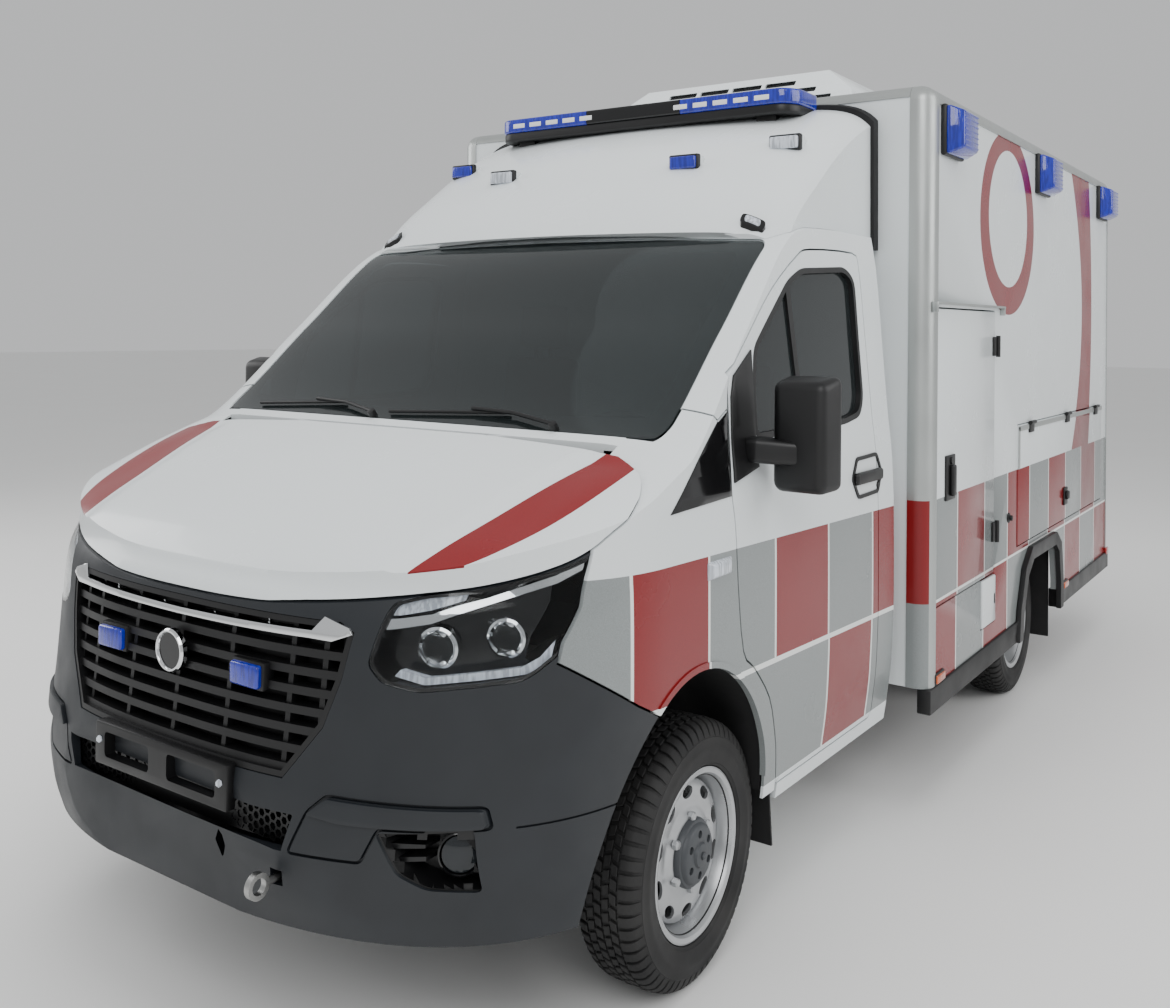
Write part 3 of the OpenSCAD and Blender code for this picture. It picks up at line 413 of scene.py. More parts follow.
def repeated(mesh, finish, count, step, rows=1, row_step=(0, 0, 0), polar=False):
    """Repeats a mesh: step is a millimetre vector, or the centre it is turned about."""
    kind = "Repeat Round" if polar else "Repeat Rows"
    tree = bpy.data.node_groups.get(kind) or repeat_tree(kind, polar)
    holder = placed(mesh)
    modifier = holder.modifiers.new("repeat", "NODES")
    modifier.node_group = tree
    spot = to_row([step])[0] if polar else np.array(step) * 0.001
    values = {"Count": count, "Step": spot, "Rows": rows, "Row Step": np.array(row_step) * 0.001,
              "Finish": finish}
    for item in tree.interface.items_tree:
        if item.item_type == "SOCKET" and item.in_out == "INPUT" and item.name in values:
            value = values[item.name]
            modifier[item.identifier] = [float(v) for v in value] if isinstance(value, np.ndarray) else value
    result = evaluated(holder)
    bpy.data.objects.remove(holder)
    return result


# ---------- finishes ----------

class Shader:
    """Nodes of one finish, worked out from Object coordinates."""

    def __init__(self, name):
        self.material = bpy.data.materials.new(name)
        self.material.use_nodes = True
        self.tree = self.material.node_tree
        self.surface = self.tree.nodes["Principled BSDF"]
        place = self.tree.nodes.new("ShaderNodeTexCoord").outputs["Object"]
        split = self.tree.nodes.new("ShaderNodeSeparateXYZ")
        self.tree.links.new(place, split.inputs[0])
        self.place = place
        self.x, self.y, self.z = split.outputs

    def put(self, socket, value):
        if isinstance(value, bpy.types.NodeSocket):
            self.tree.links.new(value, socket)
        else:
            socket.default_value = value

    def math(self, operation, first, second=0.0):
        node = self.tree.nodes.new("ShaderNodeMath")
        node.operation = operation
        self.put(node.inputs[0], first)
        self.put(node.inputs[1], second)
        return node.outputs[0]

    def between(self, value, low, high):
        above = self.math("GREATER_THAN", value, low)
        below = self.math("LESS_THAN", value, high)
        return self.math("MULTIPLY", above, below)

    def noise(self, scale, detail=4.0, stretch=(1, 1, 1)):
        place = self.tree.nodes.new("ShaderNodeMapping")
        self.put(place.inputs["Vector"], self.place)
        place.inputs["Scale"].default_value = stretch
        node = self.tree.nodes.new("ShaderNodeTexNoise")
        self.put(node.inputs["Vector"], place.outputs[0])
        node.inputs["Scale"].default_value = scale
        node.inputs["Detail"].default_value = detail
        return node.outputs["Fac"]

    def range(self, value, low, high, to_low, to_high):
        node = self.tree.nodes.new("ShaderNodeMapRange")
        for socket, part in zip(node.inputs, (value, low, high, to_low, to_high)):
            self.put(socket, part)
        return node.outputs[0]

    def mix(self, share, first, second):
        node = self.tree.nodes.new("ShaderNodeMix")
        node.data_type = "RGBA"
        self.put(node.inputs["Factor"], share)
        for name, value in (("A", first), ("B", second)):
            socket = [s for s in node.inputs if s.name == name and s.type == "RGBA"][0]
            plain = not isinstance(value, bpy.types.NodeSocket)
            self.put(socket, tuple(value)[:3] + (1.0,) if plain else value)
        return [s for s in node.outputs if s.type == "RGBA"][0]

    def bump(self, height, strength, depth):
        node = self.tree.nodes.new("ShaderNodeBump")
        self.put(node.inputs["Height"], height)
        node.inputs["Strength"].default_value = strength
        node.inputs["Distance"].default_value = depth
        self.tree.links.new(node.outputs[0], self.surface.inputs["Normal"])

    def base(self, value):
        self.put(self.surface.inputs["Base Color"], value)

    def rough(self, low, high, scale=6.0):
        spread = self.noise(scale, 5.0)
        self.put(self.surface.inputs["Roughness"], self.range(spread, 0.3, 0.7, low, high))


finishes = {}


def finish(name, **options):
    """Finish by name, made when it is first asked for."""
    if name not in finishes:
        finishes[name] = MAKERS[name](**options) if name in MAKERS else None
    return finishes[name]


def simple(name, colour, low, high, metal=0.0, coat=0.0, mottle=0.12, mottle_scale=9.0,
           grain=None, coat_rough=0.04):
    """Finish with mottled colour, uneven gloss and an optional grain (scale, strength, depth)."""
    shader = Shader(name)
    dark = [c * (1 - mottle) for c in colour]
    light = [min(1.0, c * (1 + mottle)) for c in colour]
    spread = shader.range(shader.noise(mottle_scale, 6.0), 0.3, 0.7, 0.0, 1.0)
    shader.base(shader.mix(spread, dark, light))
    shader.rough(low, high)
    shader.surface.inputs["Metallic"].default_value = metal
    shader.surface.inputs["Coat Weight"].default_value = coat
    shader.surface.inputs["Coat Roughness"].default_value = coat_rough
    if grain:
        shader.bump(shader.noise(grain[0], 3.0), grain[1], grain[2])
    return shader.material


def paint_surface(shader, colour):
    """Clear-coated body paint with faint dust low down and orange peel."""
    dust = shader.range(shader.z, 0.25, 1.0, 0.10, 0.0)
    patch = shader.range(shader.noise(3.5, 6.0), 0.35, 0.75, 0.0, 1.0)
    dirt = shader.math("MULTIPLY", dust, patch)
    shader.base(shader.mix(dirt, colour, (0.36, 0.34, 0.31)))
    shader.rough(0.16, 0.30, 4.0)
    shader.surface.inputs["Specular IOR Level"].default_value = 0.35
    shader.surface.inputs["Coat Weight"].default_value = 0.2
    shader.surface.inputs["Coat Roughness"].default_value = 0.03
    shader.bump(shader.noise(700.0, 2.0), 0.03, 0.0004)


def make_paint():
    shader = Shader("body_paint")
    tint = shader.range(shader.noise(1.4, 3.0), 0.3, 0.7, 0.0, 1.0)
    body = colours().body
    paint_surface(shader, shader.mix(tint, [c * 0.97 for c in body], body))
    return shader.material


def film_painted_glints(shader, colour):
    """Reflective film colour with fine random lighter and darker specks: a painted sparkle that stands in for glints
    off the glass beads, on every colour it is given.
    """
    # painted glints: fine specks mixed lighter and darker than the film colour
    painted_sparkle = shader.range(shader.noise(420.0, 2.0), 0.35, 0.65, 0.0, 1.0)
    return shader.mix(painted_sparkle, [c * 0.90 for c in colour], [min(1.0, c * 1.08) for c in colour])


def station_y(shader):
    return shader.math("SUBTRACT", shader.y, AXLE_Y)


def either(shader, first, second):
    return shader.math("MAXIMUM", first, second)


def make_cab_livery():
    """Body paint with the blocks along the wings, doors and rear of the cab."""
    shader = Shader("cab_livery")
    tones = colours()
    y = station_y(shader)
    line = sizes().check_line
    fall = shader.math("MULTIPLY", y, -0.021)
    top = shader.math("ADD", fall, 1.155)
    middle_line = shader.math("ADD", shader.math("MULTIPLY", y, -0.0305), 0.8086)
    upper = shader.math("MULTIPLY", shader.math("LESS_THAN", shader.z, top),
                        shader.math("GREATER_THAN", shader.z, middle_line))
    lower = shader.math("MULTIPLY", shader.math("LESS_THAN", shader.z, middle_line),
                        shader.math("GREATER_THAN", shader.z, 0.436))
    red_upper = 0.0
    for start, end in ((-0.414, -0.056), (0.340, 0.722), (1.096, 1.4)):
        red_upper = either(shader, shader.between(y, start, end), red_upper)
    red_lower = shader.between(y, 0.727, 1.093)
    red = either(shader, shader.math("MULTIPLY", red_upper, upper),
                 shader.math("MULTIPLY", red_lower, lower))
    edges_upper = 0.0
    for edge in (-0.414, -0.056, 0.340, 0.722, 1.096):
        edges_upper = either(shader, shader.between(y, edge - line / 2, edge + line / 2), edges_upper)
    edges_lower = 0.0
    for edge in (0.727, 1.093):
        edges_lower = either(shader, shader.between(y, edge - line / 2, edge + line / 2), edges_lower)
    off_middle = shader.math("ABSOLUTE", shader.math("SUBTRACT", shader.z, middle_line))
    gap = shader.math("LESS_THAN", off_middle, line * 0.7)
    lines = either(shader, shader.math("MULTIPLY", edges_upper, upper),
                   shader.math("MULTIPLY", edges_lower, lower))
    wide = shader.math("GREATER_THAN", shader.math("ABSOLUTE", shader.x), 0.72)
    band = shader.math("MULTIPLY", either(shader, upper, lower), wide)
    lines = either(shader, lines, shader.math("MULTIPLY", gap, band))
    block_colour = shader.mix(red, film_painted_glints(shader, tones.grey), film_painted_glints(shader, tones.red))
    block_colour = shader.mix(lines, block_colour, tones.line)
    paint_surface(shader, shader.mix(band, tones.body, block_colour))
    return shader.material


def make_box_livery(corner=False):
    """Body paint, or the corner profiles' aluminium, with the blocks, ring and bow of the box."""
    shader = Shader("corner_livery" if corner else "box_livery")
    tones = colours()
    size = sizes()
    y = station_y(shader)
    x = shader.math("ABSOLUTE", shader.x)
    on_side = shader.math("GREATER_THAN", x, BOX_HALF / 1000 - 0.05)
    along = shader.math("DIVIDE", shader.math("SUBTRACT", y, BOX_FRONT / 1000 + 0.341),
                        size.check_length)
    across = shader.math("DIVIDE", shader.math("ADD", shader.x, size.check_length / 2),
                         size.check_length)
    blend = shader.math("ADD", shader.math("MULTIPLY", along, on_side),
                        shader.math("MULTIPLY", across, shader.math("SUBTRACT", 1.0, on_side)))
    column = shader.math("FLOOR", blend)
    share = shader.math("SUBTRACT", blend, column)
    odd = shader.math("ABSOLUTE", shader.math("MODULO", column, 2.0))
    upper = shader.between(shader.z, size.check_middle, size.check_top)
    band = shader.between(shader.z, 0.2, size.check_top)
    red = shader.math("ABSOLUTE", shader.math("SUBTRACT", shader.math("SUBTRACT", 1.0, odd),
                                              shader.math("SUBTRACT", 1.0, upper)))
    half_line = size.check_line / 2
    edge = shader.math("LESS_THAN", share, half_line / size.check_length)
    edge = either(shader, edge, shader.math("GREATER_THAN", share,
                                            1 - half_line / size.check_length))
    edge = either(shader, edge, shader.between(shader.z, size.check_middle - half_line,
                                               size.check_middle + half_line))
    block_colour = shader.mix(red, film_painted_glints(shader, tones.grey), film_painted_glints(shader, tones.red))
    block_colour = shader.mix(edge, block_colour, tones.line)
    if corner:
        front = shader.math("LESS_THAN", y, BOX_FRONT / 1000 + 0.024)
        shown = shader.math("MULTIPLY", front, band)
        face = shader.mix(upper, film_painted_glints(shader, tones.grey), film_painted_glints(shader, tones.red))
        shader.base(shader.mix(shown, tones.profile, face))
        shader.rough(0.30, 0.45)
        shader.put(shader.surface.inputs["Metallic"], shader.math("SUBTRACT", 0.75, shown))
        return shader.material
    ring_y = shader.math("SUBTRACT", y, 2.537)
    ring_z = shader.math("SUBTRACT", shader.z, 2.222)

    def oval(a, b, lift):
        first = shader.math("POWER", shader.math("DIVIDE", ring_y, a), 2.0)
        second = shader.math("DIVIDE", shader.math("SUBTRACT", ring_z, lift), b)
        return shader.math("LESS_THAN", shader.math("ADD", first, shader.math("POWER", second, 2.0)), 1.0)

    ring = shader.math("SUBTRACT", oval(0.448, 0.399, 0.0), oval(0.318, 0.298, 0.020))
    bend = shader.math("POWER", shader.math("DIVIDE", shader.math("SUBTRACT", shader.z, 1.845), 0.72),
                       2.0)
    front_edge = shader.math("SUBTRACT", 4.07, shader.math("MULTIPLY", bend, 0.26))
    rear_edge = shader.math("SUBTRACT", 4.33, shader.math("MULTIPLY", bend, 0.09))
    bow = shader.math("MULTIPLY", shader.math("GREATER_THAN", y, front_edge),
                      shader.math("LESS_THAN", y, rear_edge))
    bow = shader.math("MULTIPLY", bow, shader.math("GREATER_THAN", shader.z, size.check_top))
    mark = shader.math("MULTIPLY", either(shader, ring, bow), on_side)
    front_wall = shader.math("GREATER_THAN", y, BOX_FRONT / 1000 + 0.03)
    band = shader.math("MULTIPLY", band, front_wall)
    body = shader.mix(mark, tones.body, film_painted_glints(shader, tones.red))
    paint_surface(shader, shader.mix(band, body, block_colour))
    return shader.material


def make_bonnet_livery():
    """Body paint with the two tapered blades of the bonnet."""
    shader = Shader("bonnet_livery")
    tones = colours()
    y = station_y(shader)
    x = shader.math("ABSOLUTE", shader.x)
    reach = shader.math("SUBTRACT", -0.190, y)
    inner = shader.math("SUBTRACT", 0.787, shader.math("MULTIPLY", reach, 0.245))
    share = shader.math("DIVIDE", shader.math("ADD", reach, 0.012), 0.635)
    share = shader.math("MINIMUM", shader.math("MAXIMUM", share, 0.0), 1.0)
    round_off = shader.math("SUBTRACT", 1.0, shader.math("POWER", share, 2.2))
    outer = shader.math("ADD", 0.635, shader.math("MULTIPLY", shader.math("POWER", round_off, 0.55),
                                                  0.265))
    blade = shader.math("MULTIPLY", shader.math("GREATER_THAN", x, inner),
                        shader.math("LESS_THAN", x, outer))
    blade = shader.math("MULTIPLY", blade, shader.between(y, -0.822, -0.186))
    foot = shader.math("ADD", 1.075, shader.math("MULTIPLY", x, 0.17))
    blade = shader.math("MULTIPLY", blade, shader.math("GREATER_THAN", shader.z, foot))
    paint_surface(shader, shader.mix(blade, tones.body, film_painted_glints(shader, tones.red)))
    return shader.material


def make_glass(name, colour, rough, alpha_like, index=1.45):
    """Tinted glazing, partly see-through."""
    shader = Shader(name)
    haze = shader.range(shader.noise(5.0, 4.0), 0.3, 0.7, 0.85, 1.15)
    tone = shader.mix(shader.math("SUBTRACT", haze, 0.85), [c * 0.85 for c in colour], colour)
    shader.base(tone)
    shader.rough(rough, rough + 0.03)
    shader.surface.inputs["Transmission Weight"].default_value = alpha_like
    shader.surface.inputs["IOR"].default_value = index
    return shader.material


def make_lens(name, colour, glow):
    """Moulded lens with fine prisms and a faint glow from within."""
    shader = Shader(name)
    prisms = shader.range(shader.noise(120.0, 1.0, (1, 1, 0.15)), 0.4, 0.6, 0.0, 1.0)
    tone = shader.mix(prisms, [c * 0.6 for c in colour], colour)
    shader.base(tone)
    shader.put(shader.surface.inputs["Emission Color"], tone)
    shader.surface.inputs["Emission Strength"].default_value = glow
    shader.rough(0.05, 0.12)
    shader.surface.inputs["Transmission Weight"].default_value = 0.35
    shader.surface.inputs["Coat Weight"].default_value = 0.7
    shader.bump(prisms, 0.25, 0.001)
    return shader.material


def make_tyre():
    shader = Shader("tyre_rubber")
    dust = shader.range(shader.noise(7.0, 6.0), 0.35, 0.7, 0.0, 1.0)
    shader.base(shader.mix(dust, (0.006, 0.006, 0.0065), (0.016, 0.0155, 0.015)))
    shader.rough(0.62, 0.85)
    shader.bump(shader.noise(300.0, 3.0), 0.25, 0.0006)
    return shader.material


def make_fabric():
    """Woven seat cloth."""
    shader = Shader("seat_cloth")
    weave = []
    for scale in ((900, 120, 120), (120, 120, 900)):
        weave.append(shader.noise(1.0, 1.0, scale))
    threads = shader.math("MULTIPLY", weave[0], weave[1])
    share = shader.range(threads, 0.15, 0.35, 0.0, 1.0)
    shader.base(shader.mix(share, (0.022, 0.024, 0.028), (0.055, 0.058, 0.064)))
    shader.rough(0.8, 0.95)
    shader.surface.inputs["Sheen Weight"].default_value = 0.35
    shader.bump(threads, 0.5, 0.0008)
    return shader.material


MAKERS = {
    "paint": make_paint,
    "cab": make_cab_livery,
    "box": make_box_livery,
    "corner": lambda: make_box_livery(corner=True),
    "bonnet": make_bonnet_livery,
    "glass": lambda: make_glass("tinted_glass", (0.10, 0.125, 0.13), 0.0, 0.86),
    "dark_glass": lambda: make_glass("privacy_glass", (0.03, 0.035, 0.04), 0.01, 0.35),
    "clear": lambda: make_glass("clear_lens", (0.93, 0.95, 0.96), 0.0, 1.0, 1.2),
    "blue": lambda: make_lens("blue_lens", tuple(colours().blue), 0.35),
    "white_lens": lambda: make_lens("white_lens", (0.75, 0.80, 0.88), 0.25),
    "red_lens": lambda: make_lens("red_lens", (0.50, 0.012, 0.012), 0.12),
    "amber": lambda: make_lens("amber_lens", (0.75, 0.12, 0.01), 0.15),
    "bumper": lambda: simple("bumper_plastic", tuple(colours().bumper), 0.42, 0.58, mottle=0.10,
                             grain=(900.0, 0.35, 0.0005)),
    "satin": lambda: simple("satin_black", (0.004, 0.004, 0.0045), 0.36, 0.52,
                            grain=(600.0, 0.2, 0.0004)),
    "gloss": lambda: simple("gloss_black", (0.003, 0.003, 0.0035), 0.07, 0.15, coat=0.2),
    "rubber": lambda: simple("seal_rubber", (0.005, 0.005, 0.0055), 0.6, 0.8, grain=(250.0, 0.3, 0.0006)),
    "tyre": make_tyre,
    "cloth": make_fabric,
    "chrome": lambda: simple("chrome", (0.78, 0.79, 0.80), 0.04, 0.10, metal=1.0, mottle=0.03),
    "steel": lambda: simple("bare_steel", (0.42, 0.42, 0.41), 0.28, 0.46, metal=1.0,
                            grain=(160.0, 0.1, 0.0006)),
    "wheel": lambda: simple("wheel_silver", (0.46, 0.47, 0.48), 0.26, 0.38, metal=0.75, mottle=0.06,
                            grain=(420.0, 0.06, 0.0004)),
    "hub": lambda: simple("hub_grey", (0.055, 0.060, 0.066), 0.36, 0.52, metal=0.2,
                          grain=(300.0, 0.15, 0.0006)),
    "profile": lambda: simple("anodised_profile", tuple(colours().profile), 0.32, 0.44, metal=0.8,
                              mottle=0.04, grain=(260.0, 0.05, 0.0004)),
    "chassis": lambda: simple("chassis_paint", (0.018, 0.019, 0.020), 0.45, 0.70, mottle=0.3,
                              grain=(120.0, 0.2, 0.001)),
    "cast": lambda: simple("cast_iron", (0.10, 0.10, 0.10), 0.5, 0.75, metal=0.6, mottle=0.3,
                           grain=(180.0, 0.4, 0.001)),
    "cabin": lambda: simple("cabin_plastic", (0.008, 0.009, 0.010), 0.5, 0.7,
                            grain=(380.0, 0.35, 0.0006)),
}


# ---------- placing pieces ----------

def piece(name, mesh, look, body, replaces=(), angle=32.0):
    """Finished piece: its mesh in place, its finish, its body and what it stands for."""
    if look is not None:
        mesh.materials.clear()
        mesh.materials.append(finish(look))
        mesh.polygons.foreach_set("material_index", [0] * len(mesh.polygons))
    mesh.name = name
    mesh.shade_smooth()
    mesh.set_sharp_from_angle(angle=math.radians(angle))
    made = placed(mesh, name)
    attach(made, body)
    if replaces:
        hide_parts(*replaces)
    return made


def dress(look, *nodes):
    """Gives carried-over frame nodes their finish."""
    for node in nodes:
        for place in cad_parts[node].material_slots:
            place.link = "OBJECT"
            place.material = finish(look)


class Builder:
    """Shared by every operator: runs build() and fails loudly."""
    bl_options = {"REGISTER", "UNDO"}

    def execute(self, context):
        self.build()
        return {"FINISHED"}


# ---------- cab skin ----------

CAB_HALF = 1034
NOSE_START = 250
NOSE_REACH = 1000
NOSE_ACROSS = 2.6
NOSE_ALONG = 2.4
PLAN_LAG = 0.00007
HALF_GAP = 3
PANEL = 8
SIDE_INSET = [(370, 34), (450, 22), (600, 6), (800, 0), (1100, 2), (1300, 10), (1450, 26),
              (1700, 49), (1950, 72), (2030, 84), (2140, 104)]
SIDE_TAPER = [(370, 12), (1250, 12), (1450, 20), (2030, 55), (2140, 60)]
NOSE_BACK = [(370, 35), (450, 10), (550, 0), (660, 10), (750, 25), (930, 45), (1050, 60),
             (1100, 75), (1160, 112), (1300, 114), (2140, 114)]
TOP_LINE = [(-1040, 930), (-950, 1060), (-925, 1105), (-900, 1145), (-860, 1180), (-750, 1236),
            (-600, 1296), (-400, 1374), (-250, 1424), (-185, 1445), (-150, 1462), (215, 1754),
            (580, 2046), (640, 2075), (760, 2098), (1000, 2106), (1400, 2106)]


def smooth_line(table):
    """Curve through table points that never swings past them."""
    at = np.array([p[0] for p in table], float)
    height = np.array([p[1] for p in table], float)
    step = np.diff(at)
    slope = np.diff(height) / step
    tangent = np.zeros(len(at))
    for i in range(1, len(at) - 1):
        if slope[i - 1] * slope[i] > 0:
            weights = (2 * step[i] + step[i - 1], step[i] + 2 * step[i - 1])
            tangent[i] = sum(weights) / (weights[0] / slope[i - 1] + weights[1] / slope[i])
    tangent[0], tangent[-1] = slope[0], slope[-1]

    def value(v):
        v = np.clip(v, at[0], at[-1])
        i = np.clip(np.searchsorted(at, v) - 1, 0, len(step) - 1)
        t = (v - at[i]) / step[i]
        return ((1 + 2 * t) * (1 - t) ** 2 * height[i] + t * (1 - t) ** 2 * step[i] * tangent[i]
                + t * t * (3 - 2 * t) * height[i + 1] + t * t * (t - 1) * step[i] * tangent[i + 1])
    return value


side_inset = smooth_line(SIDE_INSET)
side_taper = smooth_line(SIDE_TAPER)
nose_back = smooth_line(NOSE_BACK)
top_line = smooth_line(TOP_LINE)


def side_half(y, z):
    return CAB_HALF - side_inset(z) - side_taper(z) * max(0.0, CAB_REAR - y) / 1000


def nose_y(x, z, inset=0.0):
    """Station of the nose at a width and height."""
    half = side_half(-NOSE_START, z) - inset
    reach = NOSE_REACH - nose_back(z) - NOSE_START - inset
    share = min(abs(x) / half, 1.0)
    return -NOSE_START - reach * (1 - share ** NOSE_ACROSS) ** (1 / NOSE_ALONG)


def cab_sides(inset, levels=74, steps=54, bottom=370, top=2140):
    rings = []
    for level in np.linspace(bottom + (inset if bottom == 370 else 0), top, levels):
        half = side_half(-NOSE_START, level) - inset
        reach = NOSE_REACH - nose_back(level) - NOSE_START - inset
        turns = np.linspace(0, math.pi / 2, steps + 1)
        right = [(half * math.cos(a) ** (2 / NOSE_ACROSS),
                  -NOSE_START - reach * math.sin(a) ** (2 / NOSE_ALONG), level) for a in turns[:-1]]
        right.append((0.0, -NOSE_START - reach, level))
        rear = side_half(CAB_REAR, level) - inset
        flank = [(rear + (half - rear) * t, CAB_REAR - inset + (-NOSE_START - CAB_REAR + inset) * t,
                  level)
                 for t in np.linspace(0, 1, 26)[:-1]]
        left = [(-p[0], p[1], p[2]) for p in (flank + right)[:-1]][::-1]
        rings.append(flank + right + left)
    return loft(rings)


def crown_drop(x):
    share = abs(x) / 1050
    return 10 * share ** 2 + 90 * share ** 16


def bonnet_crease(x, y):
    """Drop of the bonnet outboard of its creases."""
    inner = 735 + (y + 170) * 0.23
    fade = np.clip((y + 930) / 90, 0, 1) * np.clip((-185 - y) / 60, 0, 1)
    step = np.clip((abs(x) - inner) / 26, 0, 1)
    back = np.clip((930 - abs(x)) / 150, 0, 1)
    return sizes().crease_drop * 1000 * fade * step * step * (3 - 2 * step) * back


def crown(inset, from_y=-1040, to_y=1400, step=17, across=86, creased=True):
    rings = []
    for y in np.arange(from_y, to_y + 1, step):
        row = []
        for x in np.linspace(1100, -1100, across):
            station = y + PLAN_LAG * x * x
            drop = crown_drop(x) + (bonnet_crease(x, station) if creased else 0)
            row.append((x, station, top_line(y) - drop - inset))
        row += [(-1100, y + PLAN_LAG * 1210000, 200), (1100, y + PLAN_LAG * 1210000, 200)]
        rings.append(row)
    return loft(rings)


skins = {}


def cab_skin(inset):
    """Closed solid inside the cab's surface, shrunk by an inset; kept for reuse."""
    if inset not in skins:
        skins[inset] = both(cab_sides(inset), crown(inset))
    return skins[inset].copy()


def layer(outer, inner):
    key = (outer, inner)
    if key not in skins:
        skins[key] = less(cab_skin(outer), cab_skin(inner))
    return skins[key].copy()


# ---------- cab outlines ----------

BONNET_LINE = [(-990, 1080), (-929, 1087), (-890, 1107), (-825, 1130), (-712, 1163), (-589, 1205),
               (-521, 1236), (-462, 1272), (-343, 1332), (-280, 1367), (-200, 1412)]
LAMP_REAR = [(-521, 1236), (-526, 1207), (-555, 1111), (-600, 1035), (-612, 989)]
BUMPER_SEAM = [(-612, 989), (-525, 934), (-391, 852), (-294, 802), (-200, 760)]
DOOR_FRONT = [(402, 415), (382, 498), (355, 581), (306, 699), (206, 806), (139, 866), (106, 1055),
              (95, 1214), (83, 1313), (100, 1440), (133, 1565)]
DOOR_TOP = [(160, 1625), (293, 1725), (480, 1868), (680, 1980), (790, 2010), (1110, 2016),
            (1150, 1985)]
DOOR_BOTTOM = 418
DOOR_REAR = 1150
WINDOW = [(272, 1442), (290, 1560), (330, 1690), (600, 1895), (700, 1936), (1030, 1955),
          (1092, 1920), (1078, 1520), (1040, 1466), (910, 1448)]
SCREEN = [(-872, 1452), (-600, 1436), (0, 1430), (600, 1436), (872, 1452), (884, 1480),
          (858, 2012), (838, 2032), (500, 2046), (0, 2052), (-500, 2046), (-838, 2032),
          (-858, 2012), (-884, 1480)]
LAMP = [(586, 985), (604, 1057), (622, 1122), (682, 1141), (795, 1157), (914, 1196), (953, 1224),
        (1000, 1240), (1000, 1111), (950, 1035), (905, 977), (881, 956), (700, 932), (620, 948)]
GRILLE = [(-514, 1072), (514, 1072), (550, 1052), (530, 946), (494, 837), (400, 712), (-400, 712),
          (-494, 837), (-530, 946), (-550, 1052)]
INTAKE = [(-440, 640), (440, 640), (415, 556), (-415, 556)]
FOG = [(634, 628), (818, 640), (830, 500), (735, 508), (680, 540)]
ARCH_Y = -105
ARCH_LENGTH = 430
ARCH_TOP = 870


def curve_through(points, steps=4):
    """Smooth open line through outline points."""
    points = [np.array(p, float) for p in points]
    result = [list(points[0])]
    for i in range(len(points) - 1):
        before = points[max(i - 1, 0)]
        after = points[min(i + 2, len(points) - 1)]
        start, end = points[i], points[i + 1]
        for k in range(1, steps + 1):
            t = k / steps
            spot = 0.5 * (2 * start + (end - before) * t + (2 * before - 5 * start + 4 * end - after) * t * t
                          + (3 * start - before - 3 * end + after) * t ** 3)
            result.append(list(spot))
    return result


DOOR_FRONT_CURVE = curve_through(DOOR_FRONT + DOOR_TOP[:1], 3)
DOOR = DOOR_FRONT_CURVE[:-1] + curve_through(DOOR_TOP, 3) + [(DOOR_REAR, DOOR_BOTTOM + 20),
                                                             (DOOR_REAR - 20, DOOR_BOTTOM),
                                                             (402, DOOR_BOTTOM)]
WINDOW_CURVE = rounded(WINDOW, 34)
SCREEN_CURVE = rounded(SCREEN, 30)
LAMP_CURVE = rounded(LAMP, 16, 4)


def cowl_prism(y0, y1):
    steps = np.linspace(-1100, 1100, 23)
    lag = [PLAN_LAG * x * x for x in steps]
    outline = [(x, y0 + d) for x, d in zip(steps, lag)]
    outline += [(x, y1 + d) for x, d in zip(steps[::-1], lag[::-1])]
    return prism(outline, 300, 2500, "Z")


def bonnet_zone(gap=0.0):
    outline = curve_through(BONNET_LINE, 3) + [(-60, 1640), (-1100, 1640)]
    return both(prism(grown(outline, gap), -FAR, FAR, "X"), cowl_prism(-FAR, -192 + gap))


def nose_zone(gap=0.0):
    outline = [(-1200, 1080)] + curve_through(BONNET_LINE[1:7], 3) + LAMP_REAR[1:] + BUMPER_SEAM[1:]
    outline += [(-200, 200), (-1200, 200)]
    return prism(grown(outline, gap), -FAR, FAR, "X")


def door_zone(gap, side=1):
    return prism(grown(DOOR, gap), side * (CAB_HALF - 184), side * FAR, "X")


def arch_outline(gap, steps=48):
    """Wheel arch seen from the side, down to the ground."""
    line = [(ARCH_Y + (ARCH_LENGTH + gap) * math.cos(a), TYRE_R + (ARCH_TOP - TYRE_R + gap) * math.sin(a))
            for a in np.linspace(0, math.pi, steps)]
    return line + [(ARCH_Y - ARCH_LENGTH - gap, 0), (ARCH_Y + ARCH_LENGTH + gap, 0)]


def front_arch(gap=0.0):
    return prism(arch_outline(gap), -FAR, FAR, "X")


def screen_hole(gap):
    return both(prism(grown(SCREEN_CURVE, gap), -320, 760, "Y"), cowl_prism(-150 - gap, FAR))


def wing_zone(gap):
    outline = [(-519, 1238)] + curve_through(BONNET_LINE[7:], 3)
    outline += [(-150, 1440), (-60, 1530), (-20, 1560), (60, 1500)]
    outline += DOOR_FRONT_CURVE[:-4][::-1]
    outline += [(402, 396), (260, 396), (-200, 760)]
    outline += [BUMPER_SEAM[i] for i in (3, 2, 1, 0)]
    outline += [LAMP_REAR[i] for i in (3, 2, 1)]
    inside = block([-790, -200, 300], [790, 500, 2000])
    return less(prism(grown(outline, gap), -FAR, FAR, "X"), inside)


def groove(outline, width, depth, axis="Y", low=-1200, high=-300):
    """Cutter that scores a closed outline into the skin."""
    line = less(prism(grown(outline, width / 2), low, high, axis),
                prism(grown(outline, -width / 2), low - 10, high + 10, axis))
    return less(line, cab_skin(depth))


